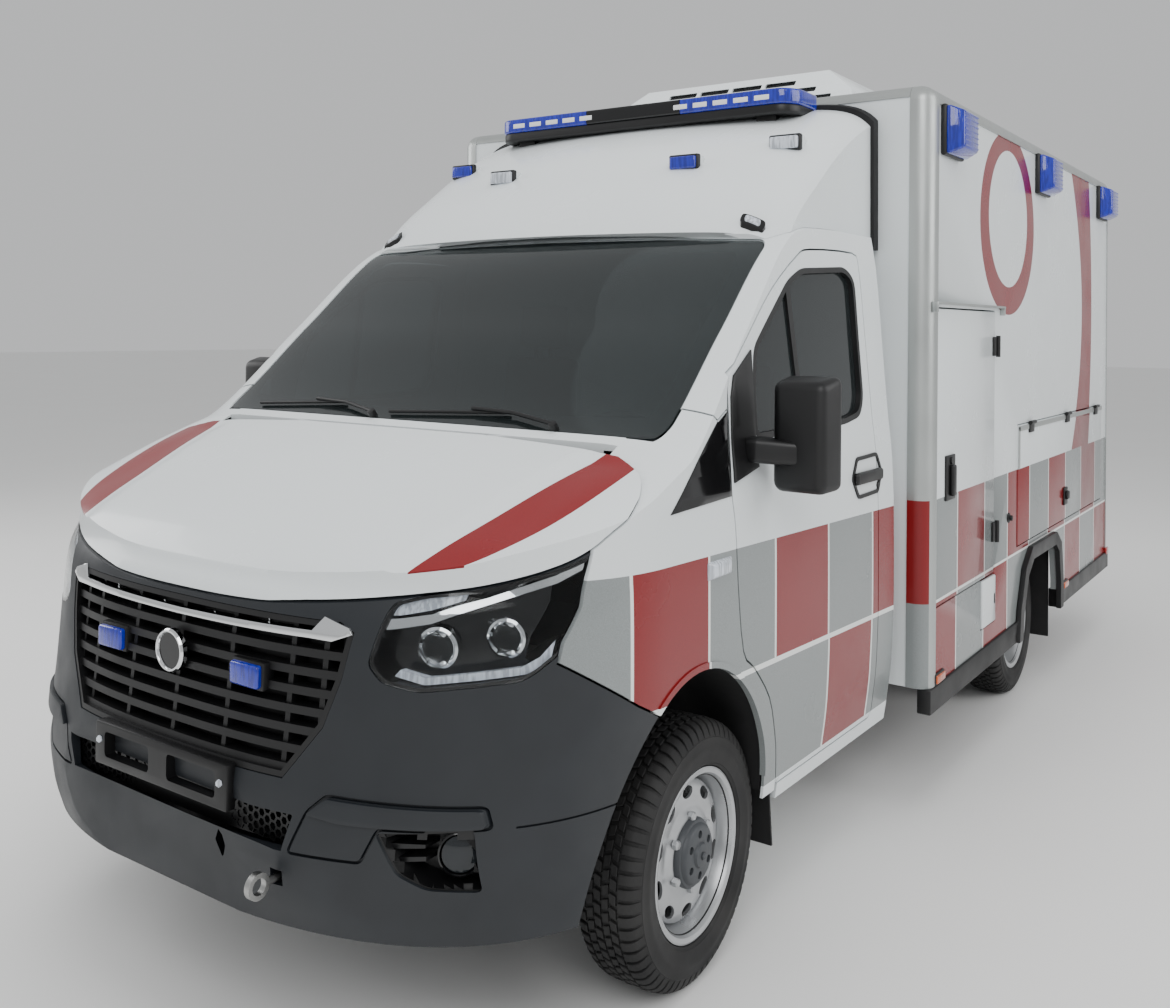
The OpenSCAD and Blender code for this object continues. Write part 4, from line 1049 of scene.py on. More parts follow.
class CabPanels(Builder, Operator):
    """Builds the cab's body, floor, bonnet and wings"""
    bl_idname = "ambulance.cab_panels"
    bl_label = "Cab Panels"

    def build(self):
        shell_zone = merged(cowl_prism(-189, FAR), block([-FAR, -150, 300], [FAR, FAR, 2300]))
        glazing_bed = both(screen_hole(HALF_GAP), less(cab_skin(-8), cab_skin(8)))
        shell = both(layer(0, 34), shell_zone)
        shell = less(shell, bonnet_zone(6), wing_zone(HALF_GAP), nose_zone(HALF_GAP),
                     door_zone(HALF_GAP), door_zone(HALF_GAP, -1), front_arch(6), screen_hole(-22),
                     block([-510, -160, 300], [510, FAR, 649]),
                     block([-FAR, -541, 300], [FAR, 416, 640]), glazing_bed)
        floor_line = [(CAB_REAR, 650), (470, 650), (180, 900), (180, 1240), (-150, 1300),
                      (-150, 1420), (-115, 1420), (-115, 1330), (215, 1268), (215, 918),
                      (488, 684), (CAB_REAR, 684)]
        floor = less(both(cab_skin(PANEL + 0.5), prism(floor_line, -FAR, FAR, "X")),
                     door_zone(HALF_GAP), door_zone(HALF_GAP, -1), front_arch(6))
        piece("cab_body", shell, "cab", "vehicle", ["cab_shell"])
        piece("cab_floor", floor, "cabin", "vehicle", ["cab_shell"])
        bonnet = both(layer(0, PANEL), bonnet_zone(-HALF_GAP))
        piece("bonnet_panel", bonnet, "bonnet", "bonnet", ["bonnet"])
        wings = less(both(layer(0, PANEL), wing_zone(-HALF_GAP)), bonnet_zone(HALF_GAP), front_arch(0),
                     screen_hole(6))
        piece("wing_panels", wings, "cab", "vehicle", ["wings"])
        lip = less(prism(arch_outline(16), -FAR, FAR, "X"), front_arch(-1))
        lip = both(lip, less(cab_skin(-4), cab_skin(14)), block([-FAR, -536, 470], [FAR, 330, 1000]),
                   wing_zone(0))
        piece("arch_lips", lip, "cab", "vehicle")
        sail = prism([(-246, 1286), (140, 1556), (160, 1300)], 400, FAR, "X")
        sail = both(less(cab_sides(-2.5), cab_sides(2)), sail, wing_zone(-HALF_GAP - 1))
        piece("wing_sails", both_sides(softened(sail, 1.5, 0)), "gloss", "vehicle")
        liner = less(prism(arch_outline(14), -FAR, FAR, "X"), prism(arch_outline(4), -FAR, FAR, "X"))
        liner = both(liner, cab_skin(14), block([-FAR, -545, 420], [FAR, 330, 1000]))
        liner = less(liner, block([-560, -600, 200], [560, 600, 1200]))
        piece("wheel_liners", liner, "rubber", "vehicle")


class CabDoors(Builder, Operator):
    """Builds the cab doors with their window seals, bars and handles"""
    bl_idname = "ambulance.cab_doors"
    bl_label = "Cab Doors"

    def build(self):
        panel = less(both(cab_skin(0), door_zone(-HALF_GAP)), cab_sides(46))
        hinge_x, front = CAB_HALF - 8, 83
        bevel = prism([(hinge_x - 12, front - 30), (hinge_x - 12, front - 5), (hinge_x - 66, front + 62),
                       (hinge_x - 260, front + 62), (hinge_x - 260, front - 30)], 300, 1900, "Z")
        pocket = both(cab_sides(12), prism([(430, 480), (1080, 480), (1080, 1360), (260, 1360),
                                            (260, 980)],
                                           400, FAR, "X"))
        seal_out = grown(WINDOW_CURVE, 9)
        panel = less(panel, bevel, prism(seal_out, 400, FAR, "X"), pocket)
        seal = less(prism(seal_out, 400, FAR, "X"), prism(grown(WINDOW_CURVE, -9), 300, FAR + 9, "X"))
        seal = both(seal, less(cab_sides(-1), cab_sides(30)))
        bar = both(prism([(594, 1400), (622, 1400), (622, 1960), (594, 1960)], 400, FAR, "X"),
                   prism(WINDOW_CURVE, 400, FAR, "X"), less(cab_sides(8), cab_sides(24)))
        trim = join([seal, bar, self.door_handle()])
        glass = both(less(cab_sides(16), cab_sides(21)), prism(grown(WINDOW_CURVE, -1), 400, FAR, "X"))
        for name, flip in HANDS:
            body = "door_" + name
            piece("cab_door_panel_" + name, flip(panel), "cab", body, ["cab_" + body])
            piece("cab_door_trim_" + name, flip(trim), "satin", body)
            piece("cab_door_glass_" + name, flip(glass), "glass", body,
                  ["cab_glass_" + name])

    def door_handle(self):
        """Hexagonal bezel with a pull across it."""
        outline = rounded([(918, 1258), (966, 1326), (1148, 1330), (1188, 1262), (1146, 1192),
                           (966, 1188)], 16)
        plate = both(prism(outline, 400, FAR, "X"), less(cab_sides(-5), cab_sides(10)))
        bowl = prism(grown(outline, -12), 400, FAR, "X")
        plate = less(plate, both(bowl, less(cab_sides(-20), cab_sides(1))))
        x = side_half(1050, 1258)
        pull = block([x - 4, 936, 1236], [x + 18, 1172, 1276], 9, 3)
        lock = lathe([(0, -2), (13, -2), (13, 5), (10, 8), (0, 8)], (x, 1150, 1216), (1, 0, 0), 20)
        return join([plate, pull, lock])


class FrontEnd(Builder, Operator):
    """Builds the bumper, grille, badge, chrome strip, intake mesh and fog lamps"""
    bl_idname = "ambulance.front_end"
    bl_label = "Front End"

    def build(self):
        zone = both(nose_zone(-HALF_GAP), block([-FAR, -1100, 300], [FAR, -150, 2000]))
        lamp = prism(LAMP_CURVE, -1100, -430, "Y")
        fog = rounded(FOG, 14)
        hood = rounded([(432, 556), (474, 652), (520, 694), (836, 688), (846, 640), (640, 636),
                        (606, 560)], 12)
        seam = prism([(-760, 636), (-760, 641), (-150, 646), (-150, 641)], -FAR, FAR, "X")
        bumper = both(layer(0, 26), zone)
        bumper = less(bumper, lamp, mirrored(lamp), prism(GRILLE, -1100, -700, "Y"),
                      prism(INTAKE, -1100, -700, "Y"), front_arch(0),
                      both_sides(prism(fog, -1100, -600, "Y")), both_sides(groove(hood, 7, 9)),
                      both_sides(less(both(seam, block([846, -700, 600], [FAR, -100, 700])),
                                      cab_skin(6))),
                      prism([(380, 474), (416, 474), (416, 510), (380, 510)], -1100, -700, "Y"))
        brow = both(layer(-9, 4), prism(rounded([(478, 650), (524, 689), (832, 683), (841, 644),
                                                 (560, 641)], 9),
                                        -1100, -500, "Y"))
        piece("bumper_shell", bumper, "bumper", "vehicle", ["front_bumper"])
        piece("bumper_brows", both_sides(softened(brow, 3, 0)), "bumper",
              "vehicle")
        self.grille()
        self.intake()
        self.fog_lamps(fog)

    def grille(self):
        count = sizes().slat_count
        opening = prism(grown(GRILLE, -2), -1100, -700, "Y")
        pitch = (1030 - 725) / count
        slats = []
        for i in range(count):
            z = 728 + i * pitch
            blade = prism([(-1100, z), (-700, z - 12), (-700, z + 10), (-1100, z + 16)], -FAR, FAR, "X")
            slats.append(both(layer(12, 46), blade, opening))
        ribs = []
        for x in (-470, -380, -190, 0, 190, 380, 470):
            ribs.append(both(layer(20, 60), block([x - 7, -1200, 712], [x + 7, -100, 1072]), opening))
        rim = less(both(layer(2, 60), opening), prism(grown(GRILLE, -15), -1200, -600, "Y"))
        back = both(layer(62, 70), opening)
        piece("grille_slats", join(slats + ribs + [rim]), "satin", "vehicle", ["grille"])
        piece("grille_back", back, "satin", "vehicle")
        strip = [(-538, 1062), (-474, 1081), (-446, 1048), (0, 1043), (446, 1048), (474, 1081),
                 (538, 1062),
                 (548, 1048), (500, 1029), (440, 1031), (0, 1028), (-440, 1031), (-500, 1029),
                 (-548, 1048)]
        chrome = both(layer(-5, 24), prism(strip, -1100, -700, "Y"))
        piece("grille_chrome", softened(chrome, 2, 0), "chrome", "vehicle")
        fins = block([-3, nose_y(0, 1058) + 16, 1046], [3, nose_y(0, 1058) + 40, 1070], 1)
        fins.transform(Matrix.Translation((-0.30, 0.012, 0)))
        fin_row = repeated(fins, finish("chrome"), 4, (200, 0, 0))
        piece("grille_fins", fin_row, None, "vehicle")
        spot = (0, nose_y(0, 938) - 3, 938)
        badge = lathe([(0, -2), (44, -2), (44, 9), (0, 9)], spot, (0, -1, 0), 64)
        ring = lathe([(43, -2), (54, -2), (54, 10), (50, 15), (46, 15), (43, 10)], spot, (0, -1, 0), 64)
        piece("badge_disc", badge, "gloss", "vehicle")
        piece("badge_ring", ring, "chrome", "vehicle")

    def intake(self):
        """Honeycomb behind the lower opening, and the empty plate bracket above it."""
        corners = [(13 * math.cos(a), 13 * math.sin(a)) for a in np.linspace(0, 2 * math.pi, 7)[:-1]]
        inner = [(x * 0.74, z * 0.74) for x, z in corners]
        back = nose_y(440, 600) + 34
        cell = less(prism(corners, back, back + 14, "Y"), prism(inner, back - 9, back + 30, "Y"))
        cell.transform(Matrix.Translation((-0.44, 0, 0.556)))
        meshes = []
        for shift in ((0, 0), (19.5, 11.3)):
            start = cell.copy()
            start.transform(Matrix.Translation((shift[0] * 0.001, 0, shift[1] * 0.001)))
            meshes.append(repeated(start, finish("satin"), 23, (39, 0, 0), 4, (0, 0, 22.6)))
        piece("intake_mesh", join(meshes), "satin", "vehicle")
        liner = both(layer(70, 78), prism(grown(INTAKE, 16), -1100, -600, "Y"))
        piece("intake_back", liner, "satin", "vehicle")
        y = nose_y(0, 665)
        plate = block([-262, y - 10, 612], [262, y + 20, 722], 6)
        for x in (-128, 128):
            plate = less(plate, block([x - 92, y - 30, 636], [x + 92, y + 50, 700], 10))
        piece("plate_bracket", plate, "satin", "vehicle")
        # The bolt caps take the white lens finish, which glows faintly: a painted glow on parts that are no lamp.
        bolt = lathe([(0, 0), (9, 0), (9, 6), (6, 9), (0, 9)], (-239, y - 9, 677), (0, -1, 0), 6)
        piece("plate_bolts", repeated(bolt, finish("white_lens"), 2, (478, 0, 0)), None, "vehicle")

    def fog_lamps(self, fog):
        cup = both(layer(6, 74), prism(grown(fog, 3), -1100, -560, "Y"))
        cup = less(cup, both(prism(grown(fog, -4), -1200, -500, "Y"), cab_skin(6), merged(
            less(cab_skin(0), cab_skin(66)), less(cab_skin(-40), cab_skin(0)))))
        x, z = 776, 578
        y = nose_y(x, z, 30)
        facing = (0.62, -0.78, 0)
        bowl = lathe([(0, -20), (46, -20), (50, 8), (46, 10), (40, -4), (0, -12)], (x, y, z), facing, 40)
        lens = lathe([(0, 2), (38, 0), (41, 6), (24, 12), (0, 14)], (x, y, z), facing, 40)
        bars = both(layer(22, 60), prism([(642, 600), (720, 600), (720, 592), (650, 588)], -1100, -500,
                                         "Y"))
        bars = join([bars, both(layer(22, 60), prism([(660, 570), (722, 574), (722, 564), (672, 560)],
                                                      -1100, -500, "Y"))])
        piece("fog_cups", both_sides(cup), "satin", "vehicle")
        piece("fog_bars", both_sides(bars), "satin", "vehicle")
        piece("fog_bowls", both_sides(bowl), "gloss", "vehicle")
        piece("fog_lenses", both_sides(lens), "dark_glass", "vehicle")


class Headlamps(Builder, Operator):
    """Builds the headlamps with their projectors, light strips and clear covers"""
    bl_idname = "ambulance.headlamps"
    bl_label = "Headlamps"

    def build(self):
        zone = nose_zone(-HALF_GAP - 1)
        outline = grown(LAMP_CURVE, -1)
        cut = prism(outline, -1100, -430, "Y")
        case = less(both(layer(4, 78), cut, zone),
                    both(prism(grown(LAMP_CURVE, -9), -1200, -400, "Y"),
                         less(cab_skin(-40), cab_skin(68))))
        cover = both(layer(1, 5), cut, zone)
        strip = [(612, 1092), (622, 1122), (682, 1139), (752, 1149), (748, 1126), (700, 1108),
                 (640, 1094)]
        chrome = [(602, 1060), (606, 1084), (640, 1088), (704, 1100), (752, 1120), (800, 1136),
                  (906, 1182),
                  (950, 1216), (952, 1200), (908, 1164), (800, 1120), (756, 1102), (706, 1080),
                  (640, 1066)]
        low = [(640, 962), (702, 946), (876, 968), (906, 990), (934, 1040), (952, 1100), (938, 1098),
               (918, 1046), (894, 1004), (868, 984), (704, 962), (650, 976)]
        white = both(layer(12, 30), prism(strip, -1100, -430, "Y"), zone)
        bright = both(layer(10, 34), prism(chrome, -1100, -430, "Y"), zone)
        lower = both(layer(14, 30), prism(low, -1100, -430, "Y"), zone)
        piece("headlamp_cases", both_sides(case), "gloss", "vehicle", ["headlamps"])
        piece("headlamp_strips", both_sides(white), "white_lens", "vehicle")
        piece("headlamp_chrome", both_sides(bright), "chrome", "vehicle")
        piece("headlamp_low_strips", both_sides(lower), "white_lens", "vehicle")
        rings, lenses = [], []
        facing = (0.42, -0.90, 0.0)
        for x, z, size in ((706, 1022, 40), (826, 1044, 37)):
            y = nose_y(x, z, 40)
            rings.append(lathe([(size - 2, -24), (size + 6, -24), (size + 8, 8), (size + 2, 12),
                                (size - 4, 4)],
                               (x, y, z), facing, 40))
            lenses.append(lathe([(0, -8), (size - 2, -8), (size - 4, 6), (size * 0.62, 18), (0, 24)],
                                (x, y, z), facing, 40))
            for dz in (-1, 1):
                wing = block([x - size - 14, y - 6, z + dz * 30 - 5],
                             [x + size * 0.5, y + 20, z + dz * 30 + 5], 3)
                rings.append(wing)
        piece("headlamp_rings", both_sides(join(rings)), "chrome", "vehicle")
        piece("headlamp_projectors", both_sides(join(lenses)), "clear", "vehicle")
        piece("headlamp_covers", both_sides(cover), "clear", "vehicle")


class Screen(Builder, Operator):
    """Builds the windscreen, its printed border, wipers and cowl"""
    bl_idname = "ambulance.screen"
    bl_label = "Windscreen"

    def build(self):
        pane = both(layer(2, 7), screen_hole(-HALF_GAP))
        piece("windscreen_pane", pane, "glass", "vehicle", ["windscreen"])
        border = both(layer(7.5, 10), screen_hole(-HALF_GAP))
        inner = [(-800, 1500), (0, 1486), (800, 1500), (822, 1530), (800, 1960), (778, 1990), (0, 2006),
                 (-778, 1990), (-800, 1960), (-822, 1530)]
        border = less(border, prism(rounded(inner, 40), -400, 800, "Y"))
        piece("windscreen_border", border, "gloss", "vehicle")
        cowl = both(layer(4, 16), both(cowl_prism(-186, -120),
                                       prism([(-872, 1300), (872, 1300), (872, 1600),
                                                                      (-872, 1600)], -400, 300, "Y")))
        piece("cowl_panel", less(cowl, screen_hole(1)), "satin", "vehicle")
        arms = []
        for x0, x1, x2 in ((560, 250, -60), (-120, -420, -700)):
            path = []
            for x, up in ((x0, 8), ((x0 + x1) / 2, 34), (x1, 40)):
                path.append(self.on_glass(x, up, 16))
            arms.append(tube(path, 6))
            blade = [self.on_glass(x1 + (x2 - x1) * t + 130 * (1 - t), 40 - 22 * t,
                                   8) for t in np.linspace(0, 1, 7)]
            arms.append(tube(blade, 5))
            arms.append(lathe([(0, -10), (13, -10), (12, 12), (0, 14)], self.on_glass(x0, 6, 8),
                              (0, -0.6, 0.8), 20))
        piece("wipers", join(arms), "satin", "vehicle")

    def on_glass(self, x, up, proud):
        """Point over the windscreen's foot, so far up the glass."""
        y = -148 + up * 1.25
        return (x, y + PLAN_LAG * x * x - proud * 0.62, top_line(y) - crown_drop(x) + proud * 0.78)


# ---------- patient box ----------

BOX_SKIN = 4
HINGE_R = 9
LOCKER_FRONT = station_box("locker_door")[0][1]
LOCKER_REAR = station_box("locker_door")[1][1] - HINGE_R - 4
LOCKER_LOW = station_box("locker_door")[0][2]
LOCKER_TOP = station_box("locker_door")[1][2]
FLAP_FRONT = station_box("side_flap")[0][1]
FLAP_REAR = station_box("side_flap")[1][1]
FLAP_LOW = station_box("side_flap")[0][2]
FLAP_TOP = station_box("side_flap")[1][2] - HINGE_R - 4


def hull(*meshes):
    """Smallest convex mesh round others."""
    shape = bmesh.new()
    for mesh in meshes:
        for vert in mesh.vertices:
            shape.verts.new(vert.co)
    found = bmesh.ops.convex_hull(shape, input=shape.verts)
    spare = [e for e in found["geom_interior"] + found["geom_unused"] if isinstance(e, bmesh.types.BMVert)]
    bmesh.ops.delete(shape, geom=list(set(spare)), context="VERTS")
    mesh = bpy.data.meshes.new("hull")
    shape.to_mesh(mesh)
    shape.free()
    return turn_out(mesh)


def rounded_box(grow):
    radius = sizes().corner_radius * 1000 + grow
    return block([-BOX_HALF - grow, BOX_FRONT - grow, 200],
                 [BOX_HALF + grow, BOX_REAR + min(grow, 4), BOX_TOP + grow], radius, 8)


HINGE_HALF = 45
HINGE_LEAF = 46


def hinge_pair(x, y, z, along):
    """Knuckle with its leaf: along Z for a door, along Y for a flap."""
    profile = [(0, -HINGE_HALF), (HINGE_R, -HINGE_HALF), (HINGE_R, HINGE_HALF), (0, HINGE_HALF)]
    reach = HINGE_HALF - 5
    if along == "Z":
        knuckle = lathe(profile, (x, y, z), (0, 0, 1), 20)
        plate = block([x - 13, y - HINGE_LEAF, z - reach], [x - 2, y, z + reach], 2)
    else:
        knuckle = lathe(profile, (x, y, z), (0, 1, 0), 20)
        plate = block([x - 12, y - reach, z - HINGE_LEAF], [x - 1, y + reach, z], 2)
    return join([knuckle, plate])


class BoxBody(Builder, Operator):
    """Builds the box's panels, rounded profiles, gutter, skirt and small lamps"""
    bl_idname = "ambulance.box_body"
    bl_label = "Box Body"

    def build(self):
        width = sizes().profile_width * 1000
        walls = both(node_copy("box_shell"), rounded_box(0))
        piece("box_panels", walls, "box", "vehicle", ["box_shell"])
        rim = less(rounded_box(5), rounded_box(-1))
        bottom = station_box("box_profiles")[0][2]
        posts = []
        for side in (1, -1):
            for y0, y1 in ((BOX_FRONT - 20, BOX_FRONT + width), (BOX_REAR - 60, BOX_REAR + 20)):
                low, high = sorted((side * (BOX_HALF - width), side * (BOX_HALF + 20)))
                posts.append(block([low, y0, bottom], [high, y1, BOX_TOP + 20]))
        corners = join([both(rim, post) for post in posts])
        edges = []
        for side in (1, -1):
            low, high = sorted((side * (BOX_HALF - 62), side * (BOX_HALF + 20)))
            edges.append(block([low, BOX_FRONT + width + 1, BOX_TOP - 62],
                               [high, BOX_REAR - 61, BOX_TOP + 20]))
        inner = BOX_HALF - width - 1
        edges.append(block([-inner, BOX_FRONT - 20, BOX_TOP - 40], [inner, BOX_FRONT + 60, BOX_TOP + 20]))
        edges.append(block([-inner, BOX_REAR - 60, BOX_TOP - 40], [inner, BOX_REAR + 20, BOX_TOP + 20]))
        roof_edges = join([both(rim, edge) for edge in edges])
        piece("corner_profiles", corners, "corner", "vehicle", ["box_profiles"])
        piece("roof_edge_profiles", roof_edges, "profile", "vehicle")
        top = LOCKER_TOP + 16
        gutter = join([block([BOX_HALF - 1, LOCKER_FRONT - 24, top],
                             [BOX_HALF + 24, LOCKER_REAR + 94, top + 9], 2),
                       block([BOX_HALF - 1, LOCKER_FRONT - 26, top - 30],
                             [BOX_HALF + 22, LOCKER_FRONT - 17, top + 8], 2),
                       block([BOX_HALF - 1, LOCKER_REAR + 87, top - 30],
                             [BOX_HALF + 22, LOCKER_REAR + 96, top + 8], 2)])
        piece("locker_gutter", gutter, "profile", "vehicle")
        skirt = softened(node_copy("box_skirt"), 4, 0)
        piece("skirt_trim", skirt, "satin", "vehicle", ["box_skirt"])
        self.lamps()
        self.roof()

    def lamps(self):
        base, lens, ribs = [], [], []
        spots = (BOX_FRONT + 105, (BOX_FRONT + BOX_REAR) / 2 - 135, BOX_REAR - 376)
        for y in spots:
            base.append(block([BOX_HALF + 0.3, y, 2402], [BOX_HALF + 22, y + 232, 2592], 8, 3))
            lens.append(hull(block([BOX_HALF + 18, y + 6, 2408], [BOX_HALF + 40, y + 226, 2586], 8, 3),
                             block([BOX_HALF + 50, y + 22, 2424], [BOX_HALF + 81, y + 210, 2570], 12, 3)))
        rib = block([BOX_HALF + 42, spots[0] + 30, 2436], [BOX_HALF + 83.4, spots[0] + 202, 2442], 2, 1)
        ribs = repeated(rib, finish("blue"), 7, (0, 0, 20))
        more = [ribs]
        for y in spots[1:]:
            other = ribs.copy()
            other.transform(Matrix.Translation((0, (y - spots[0]) * 0.001, 0)))
            more.append(other)
        piece("beacon_bases", both_sides(join(base)), "satin", "vehicle")
        piece("beacon_lenses", both_sides(join(lens)), "blue", "vehicle", ["side_beacons"])
        piece("beacon_ribs", both_sides(join(more)), "blue", "vehicle")
        amber, holder = [], []
        for y, z in ((1580, 468), (3680, 446)):
            holder.append(block([BOX_HALF - 2, y - 56, z - 22], [BOX_HALF + 8, y + 56, z + 22], 5))
            amber.append(block([BOX_HALF + 4, y - 48, z - 15], [BOX_HALF + 14, y + 48, z + 15], 5, 3))
        piece("marker_holders", both_sides(join(holder)), "satin", "vehicle")
        piece("marker_lenses", both_sides(join(amber)), "amber", "vehicle")
        x = BOX_HALF
        tail = [block([x - 118, BOX_REAR + 1, 522], [x - 22, BOX_REAR + 30, 858], 10, 3)]
        red = [block([x - 112, BOX_REAR + 20, 640], [x - 28, BOX_REAR + 48, 850], 9, 3)]
        white = [block([x - 112, BOX_REAR + 20, 530], [x - 28, BOX_REAR + 46, 580], 7, 3)]
        turn = [block([x - 112, BOX_REAR + 20, 586], [x - 28, BOX_REAR + 47, 634], 7, 3)]
        red.append(block([x - 128, BOX_REAR + 1, 2472], [x - 32, BOX_REAR + 38, 2558], 10, 3))
        red.append(block([x + 1, BOX_REAR - 74, 436], [x + 14, BOX_REAR - 12, 476], 5))
        piece("tail_lamp_bases", both_sides(join(tail)), "satin", "vehicle")
        piece("tail_lamp_lenses", both_sides(join(red)), "red_lens", "vehicle",
              ["tail_lamps"])
        piece("tail_lamp_whites", both_sides(join(white)), "white_lens", "vehicle")
        piece("tail_lamp_turns", both_sides(join(turn)), "amber", "vehicle")
        knob = lathe([(0, 0), (22, 0), (22, 5), (12, 8), (12, 18), (0, 20)], (x, 2559, 932), (1, 0, 0),
                     28)
        piece("socket_cap", knob, "satin", "vehicle")

    def roof(self):
        low, high = station_box("roof_unit")
        width, front, rear, top = high[0], low[1], high[1], high[2]
        base = BOX_TOP
        outer = hull(block([-width, front, base + 0.3], [width, rear, base + 62], 10),
                     block([-width + 22, front + 42, base + 50], [width - 22, rear - 22, base + 138], 12),
                     block([-width + 150, front + 130, base + 100], [width - 150, rear - 60, top], 14, 3))
        core = hull(block([-width + 9, front + 9, base + 2], [width - 9, rear - 9, base + 52]),
                    block([-width + 32, front + 53, base + 50], [width - 32, rear - 32, base + 128]),
                    block([-width + 160, front + 142, base + 90], [width - 160, rear - 70, top - 10]))
        slots = []
        for row, half in enumerate((560, 520, 440, 330)):
            z = base + 52 + row * 44
            columns = 4
            span = 2 * half / columns
            for column in range(columns):
                x = -half + column * span
                slots.append(block([x + 9, front - 40, z], [x + span - 9, front + 300, z + 24], 5))
        shell = less(outer, core, *slots)
        piece("roof_unit_cover", shell, "paint", "vehicle", ["roof_unit"])
        piece("roof_unit_core", core, "satin", "vehicle")


class BoxDoors(Builder, Operator):
    """Builds the lids and doors of the box with hinges, handles and windows"""
    bl_idname = "ambulance.box_doors"
    bl_label = "Box Doors"

    def build(self):
        x = BOX_HALF
        door = block([x - 28, LOCKER_FRONT, LOCKER_LOW], [x + BOX_SKIN, LOCKER_REAR, LOCKER_TOP], 4)
        hinges = join([hinge_pair(x + 16, LOCKER_REAR + 4, z, "Z") for z in (908, 1687)])
        y = LOCKER_FRONT + 178
        handle = join([block([x + 3, y - 56, 1112], [x + 12, y + 56, 1282], 9, 3),
                       block([x + 10, y - 18, 1128], [x + 29, y + 20, 1246], 7, 3),
                       lathe([(0, 0), (14, 0), (14, 8), (0, 8)], (x + 10, y, 1262), (1, 0, 0), 24)])
        piece("locker_panel", door, "box", "locker_door", ["locker_door"])
        piece("locker_hinges", hinges, "satin", "locker_door")
        piece("locker_handle", handle, "satin", "locker_door")
        flap = block([x - 28, FLAP_FRONT, FLAP_LOW], [x + BOX_SKIN, FLAP_REAR, FLAP_TOP], 4)
        rail = join([block([x + 3, FLAP_FRONT + 2, FLAP_TOP - 26], [x + 8, FLAP_REAR - 2, FLAP_TOP - 2],
                           2),
                     block([x + 3, FLAP_FRONT + 2, 1130], [x + 8, FLAP_FRONT + 24, FLAP_TOP - 4], 2)])
        knuckles = [hinge_pair(x + 14, y, FLAP_TOP + 4, "Y") for y in (2932, 3693, 4421)]
        latch = join([block([x + 3, 3620, 860], [x + 12, 3696, 950], 7, 3),
                      block([x + 10, 3634, 890], [x + 26, 3682, 932], 6, 3)])
        piece("flap_panel", flap, "box", "side_flap", ["side_flap"])
        piece("flap_rail", rail, "profile", "side_flap")
        piece("flap_hinges", join(knuckles + [latch]), "satin", "side_flap")
        low, high = station_box("filler_flap")
        lid = block([x - 10, low[1], low[2]], [x + 8, high[1], high[2]], 7, 3)
        pull = block([x + 6, high[1] - 30, (low[2] + high[2]) / 2 - 22],
                     [x + 8, high[1] - 12, (low[2] + high[2]) / 2 + 22], 0.8)
        piece("filler_lid", join([lid, pull]), "paint", "filler_flap", ["filler_flap"])
        self.entry("side_door", "side_window", "X", -1)
        self.entry("rear_door_left", "rear_window_left", "Y", 1)
        self.entry("rear_door_right", "rear_window_right", "Y", -1)

    def entry(self, door, window, facing, side):
        """Hinged entry door: its leaf, window seal, glass and furniture."""
        leaf = softened(node_copy(door), 3, 0)
        piece(door + "_leaf", leaf, "box", door, [door], 40)
        low, high = station_box(window)
        if facing == "X":
            x0, x1 = -BOX_HALF - 9, -BOX_HALF + 24
            outer = rounded([(low[1] - 16, low[2] - 16), (high[1] + 16, low[2] - 16),
                             (high[1] + 16, high[2] + 16), (low[1] - 16, high[2] + 16)], 46)
            seal = less(prism(outer, x0, x1, "X"), prism(grown(outer, -30), x0 - 5, x1 + 5, "X"))
            rear = station_box(door)[1][1]
            handle = block([-BOX_HALF - 33, rear - 121, 1178], [-BOX_HALF - 5, rear - 59, 1342], 8, 3)
        else:
            y0, y1 = BOX_REAR - 20, BOX_REAR + 12
            outer = rounded([(low[0] - 16, low[2] - 16), (high[0] + 16, low[2] - 16),
                             (high[0] + 16, high[2] + 16), (low[0] - 16, high[2] + 16)], 46)
            seal = less(prism(outer, y0, y1, "Y"), prism(grown(outer, -30), y0 - 5, y1 + 5, "Y"))
            near, far = sorted((side * 33, side * 87))
            handle = block([near, BOX_REAR + 7, 1178], [far, BOX_REAR + 35, 1342], 8, 3)
        glass = node_copy(window)
        piece(door + "_handle", handle, "satin", door)
        piece(window + "_seal", softened(seal, 2, 0), "rubber", door)
        piece(window + "_pane", glass, "dark_glass", door, [window])


# ---------- fairing and roof lamps ----------

FAIRING_LINE = [(560, 2070), (580, 2095), (620, 2140), (700, 2215), (850, 2322), (980, 2412),
                (1150, 2510), (1300, 2578), (1425, 2612), (1450, 2618)]
FAIRING_REAR = 1425
fairing_line = smooth_line(FAIRING_LINE)


def fairing_solid(inset):
    rings = []
    for y in np.linspace(560, 1450, 72):
        z = fairing_line(y)
        half = 960 - (z - 2100) * 0.11 - (FAIRING_REAR - y) * 0.075 - inset
        row = []
        for s in np.sin(np.linspace(math.pi / 2, -math.pi / 2, 65)):
            row.append((half * s, y + inset + 0.0001 * half * half * s * s,
                        z - inset - 12 * s * s - 70 * abs(s) ** 14))
        foot = y + inset + 0.0001 * half * half
        rings.append(row + [(-half - 4, foot, 1990), (half + 4, foot, 1990)])
    return both(loft(rings), block([-FAR, 400, 1995], [FAR, FAIRING_REAR - inset, 2800]))


def fairing_z(x, y):
    """Height of the fairing's skin."""
    along = y
    for _ in range(4):
        half = 960 - (fairing_line(along) - 2100) * 0.11 - (FAIRING_REAR - along) * 0.075
        along = y - 0.0001 * x * x
    share = min(abs(x) / half, 1.0)
    return fairing_line(along) - 12 * share ** 2 - 70 * share ** 14


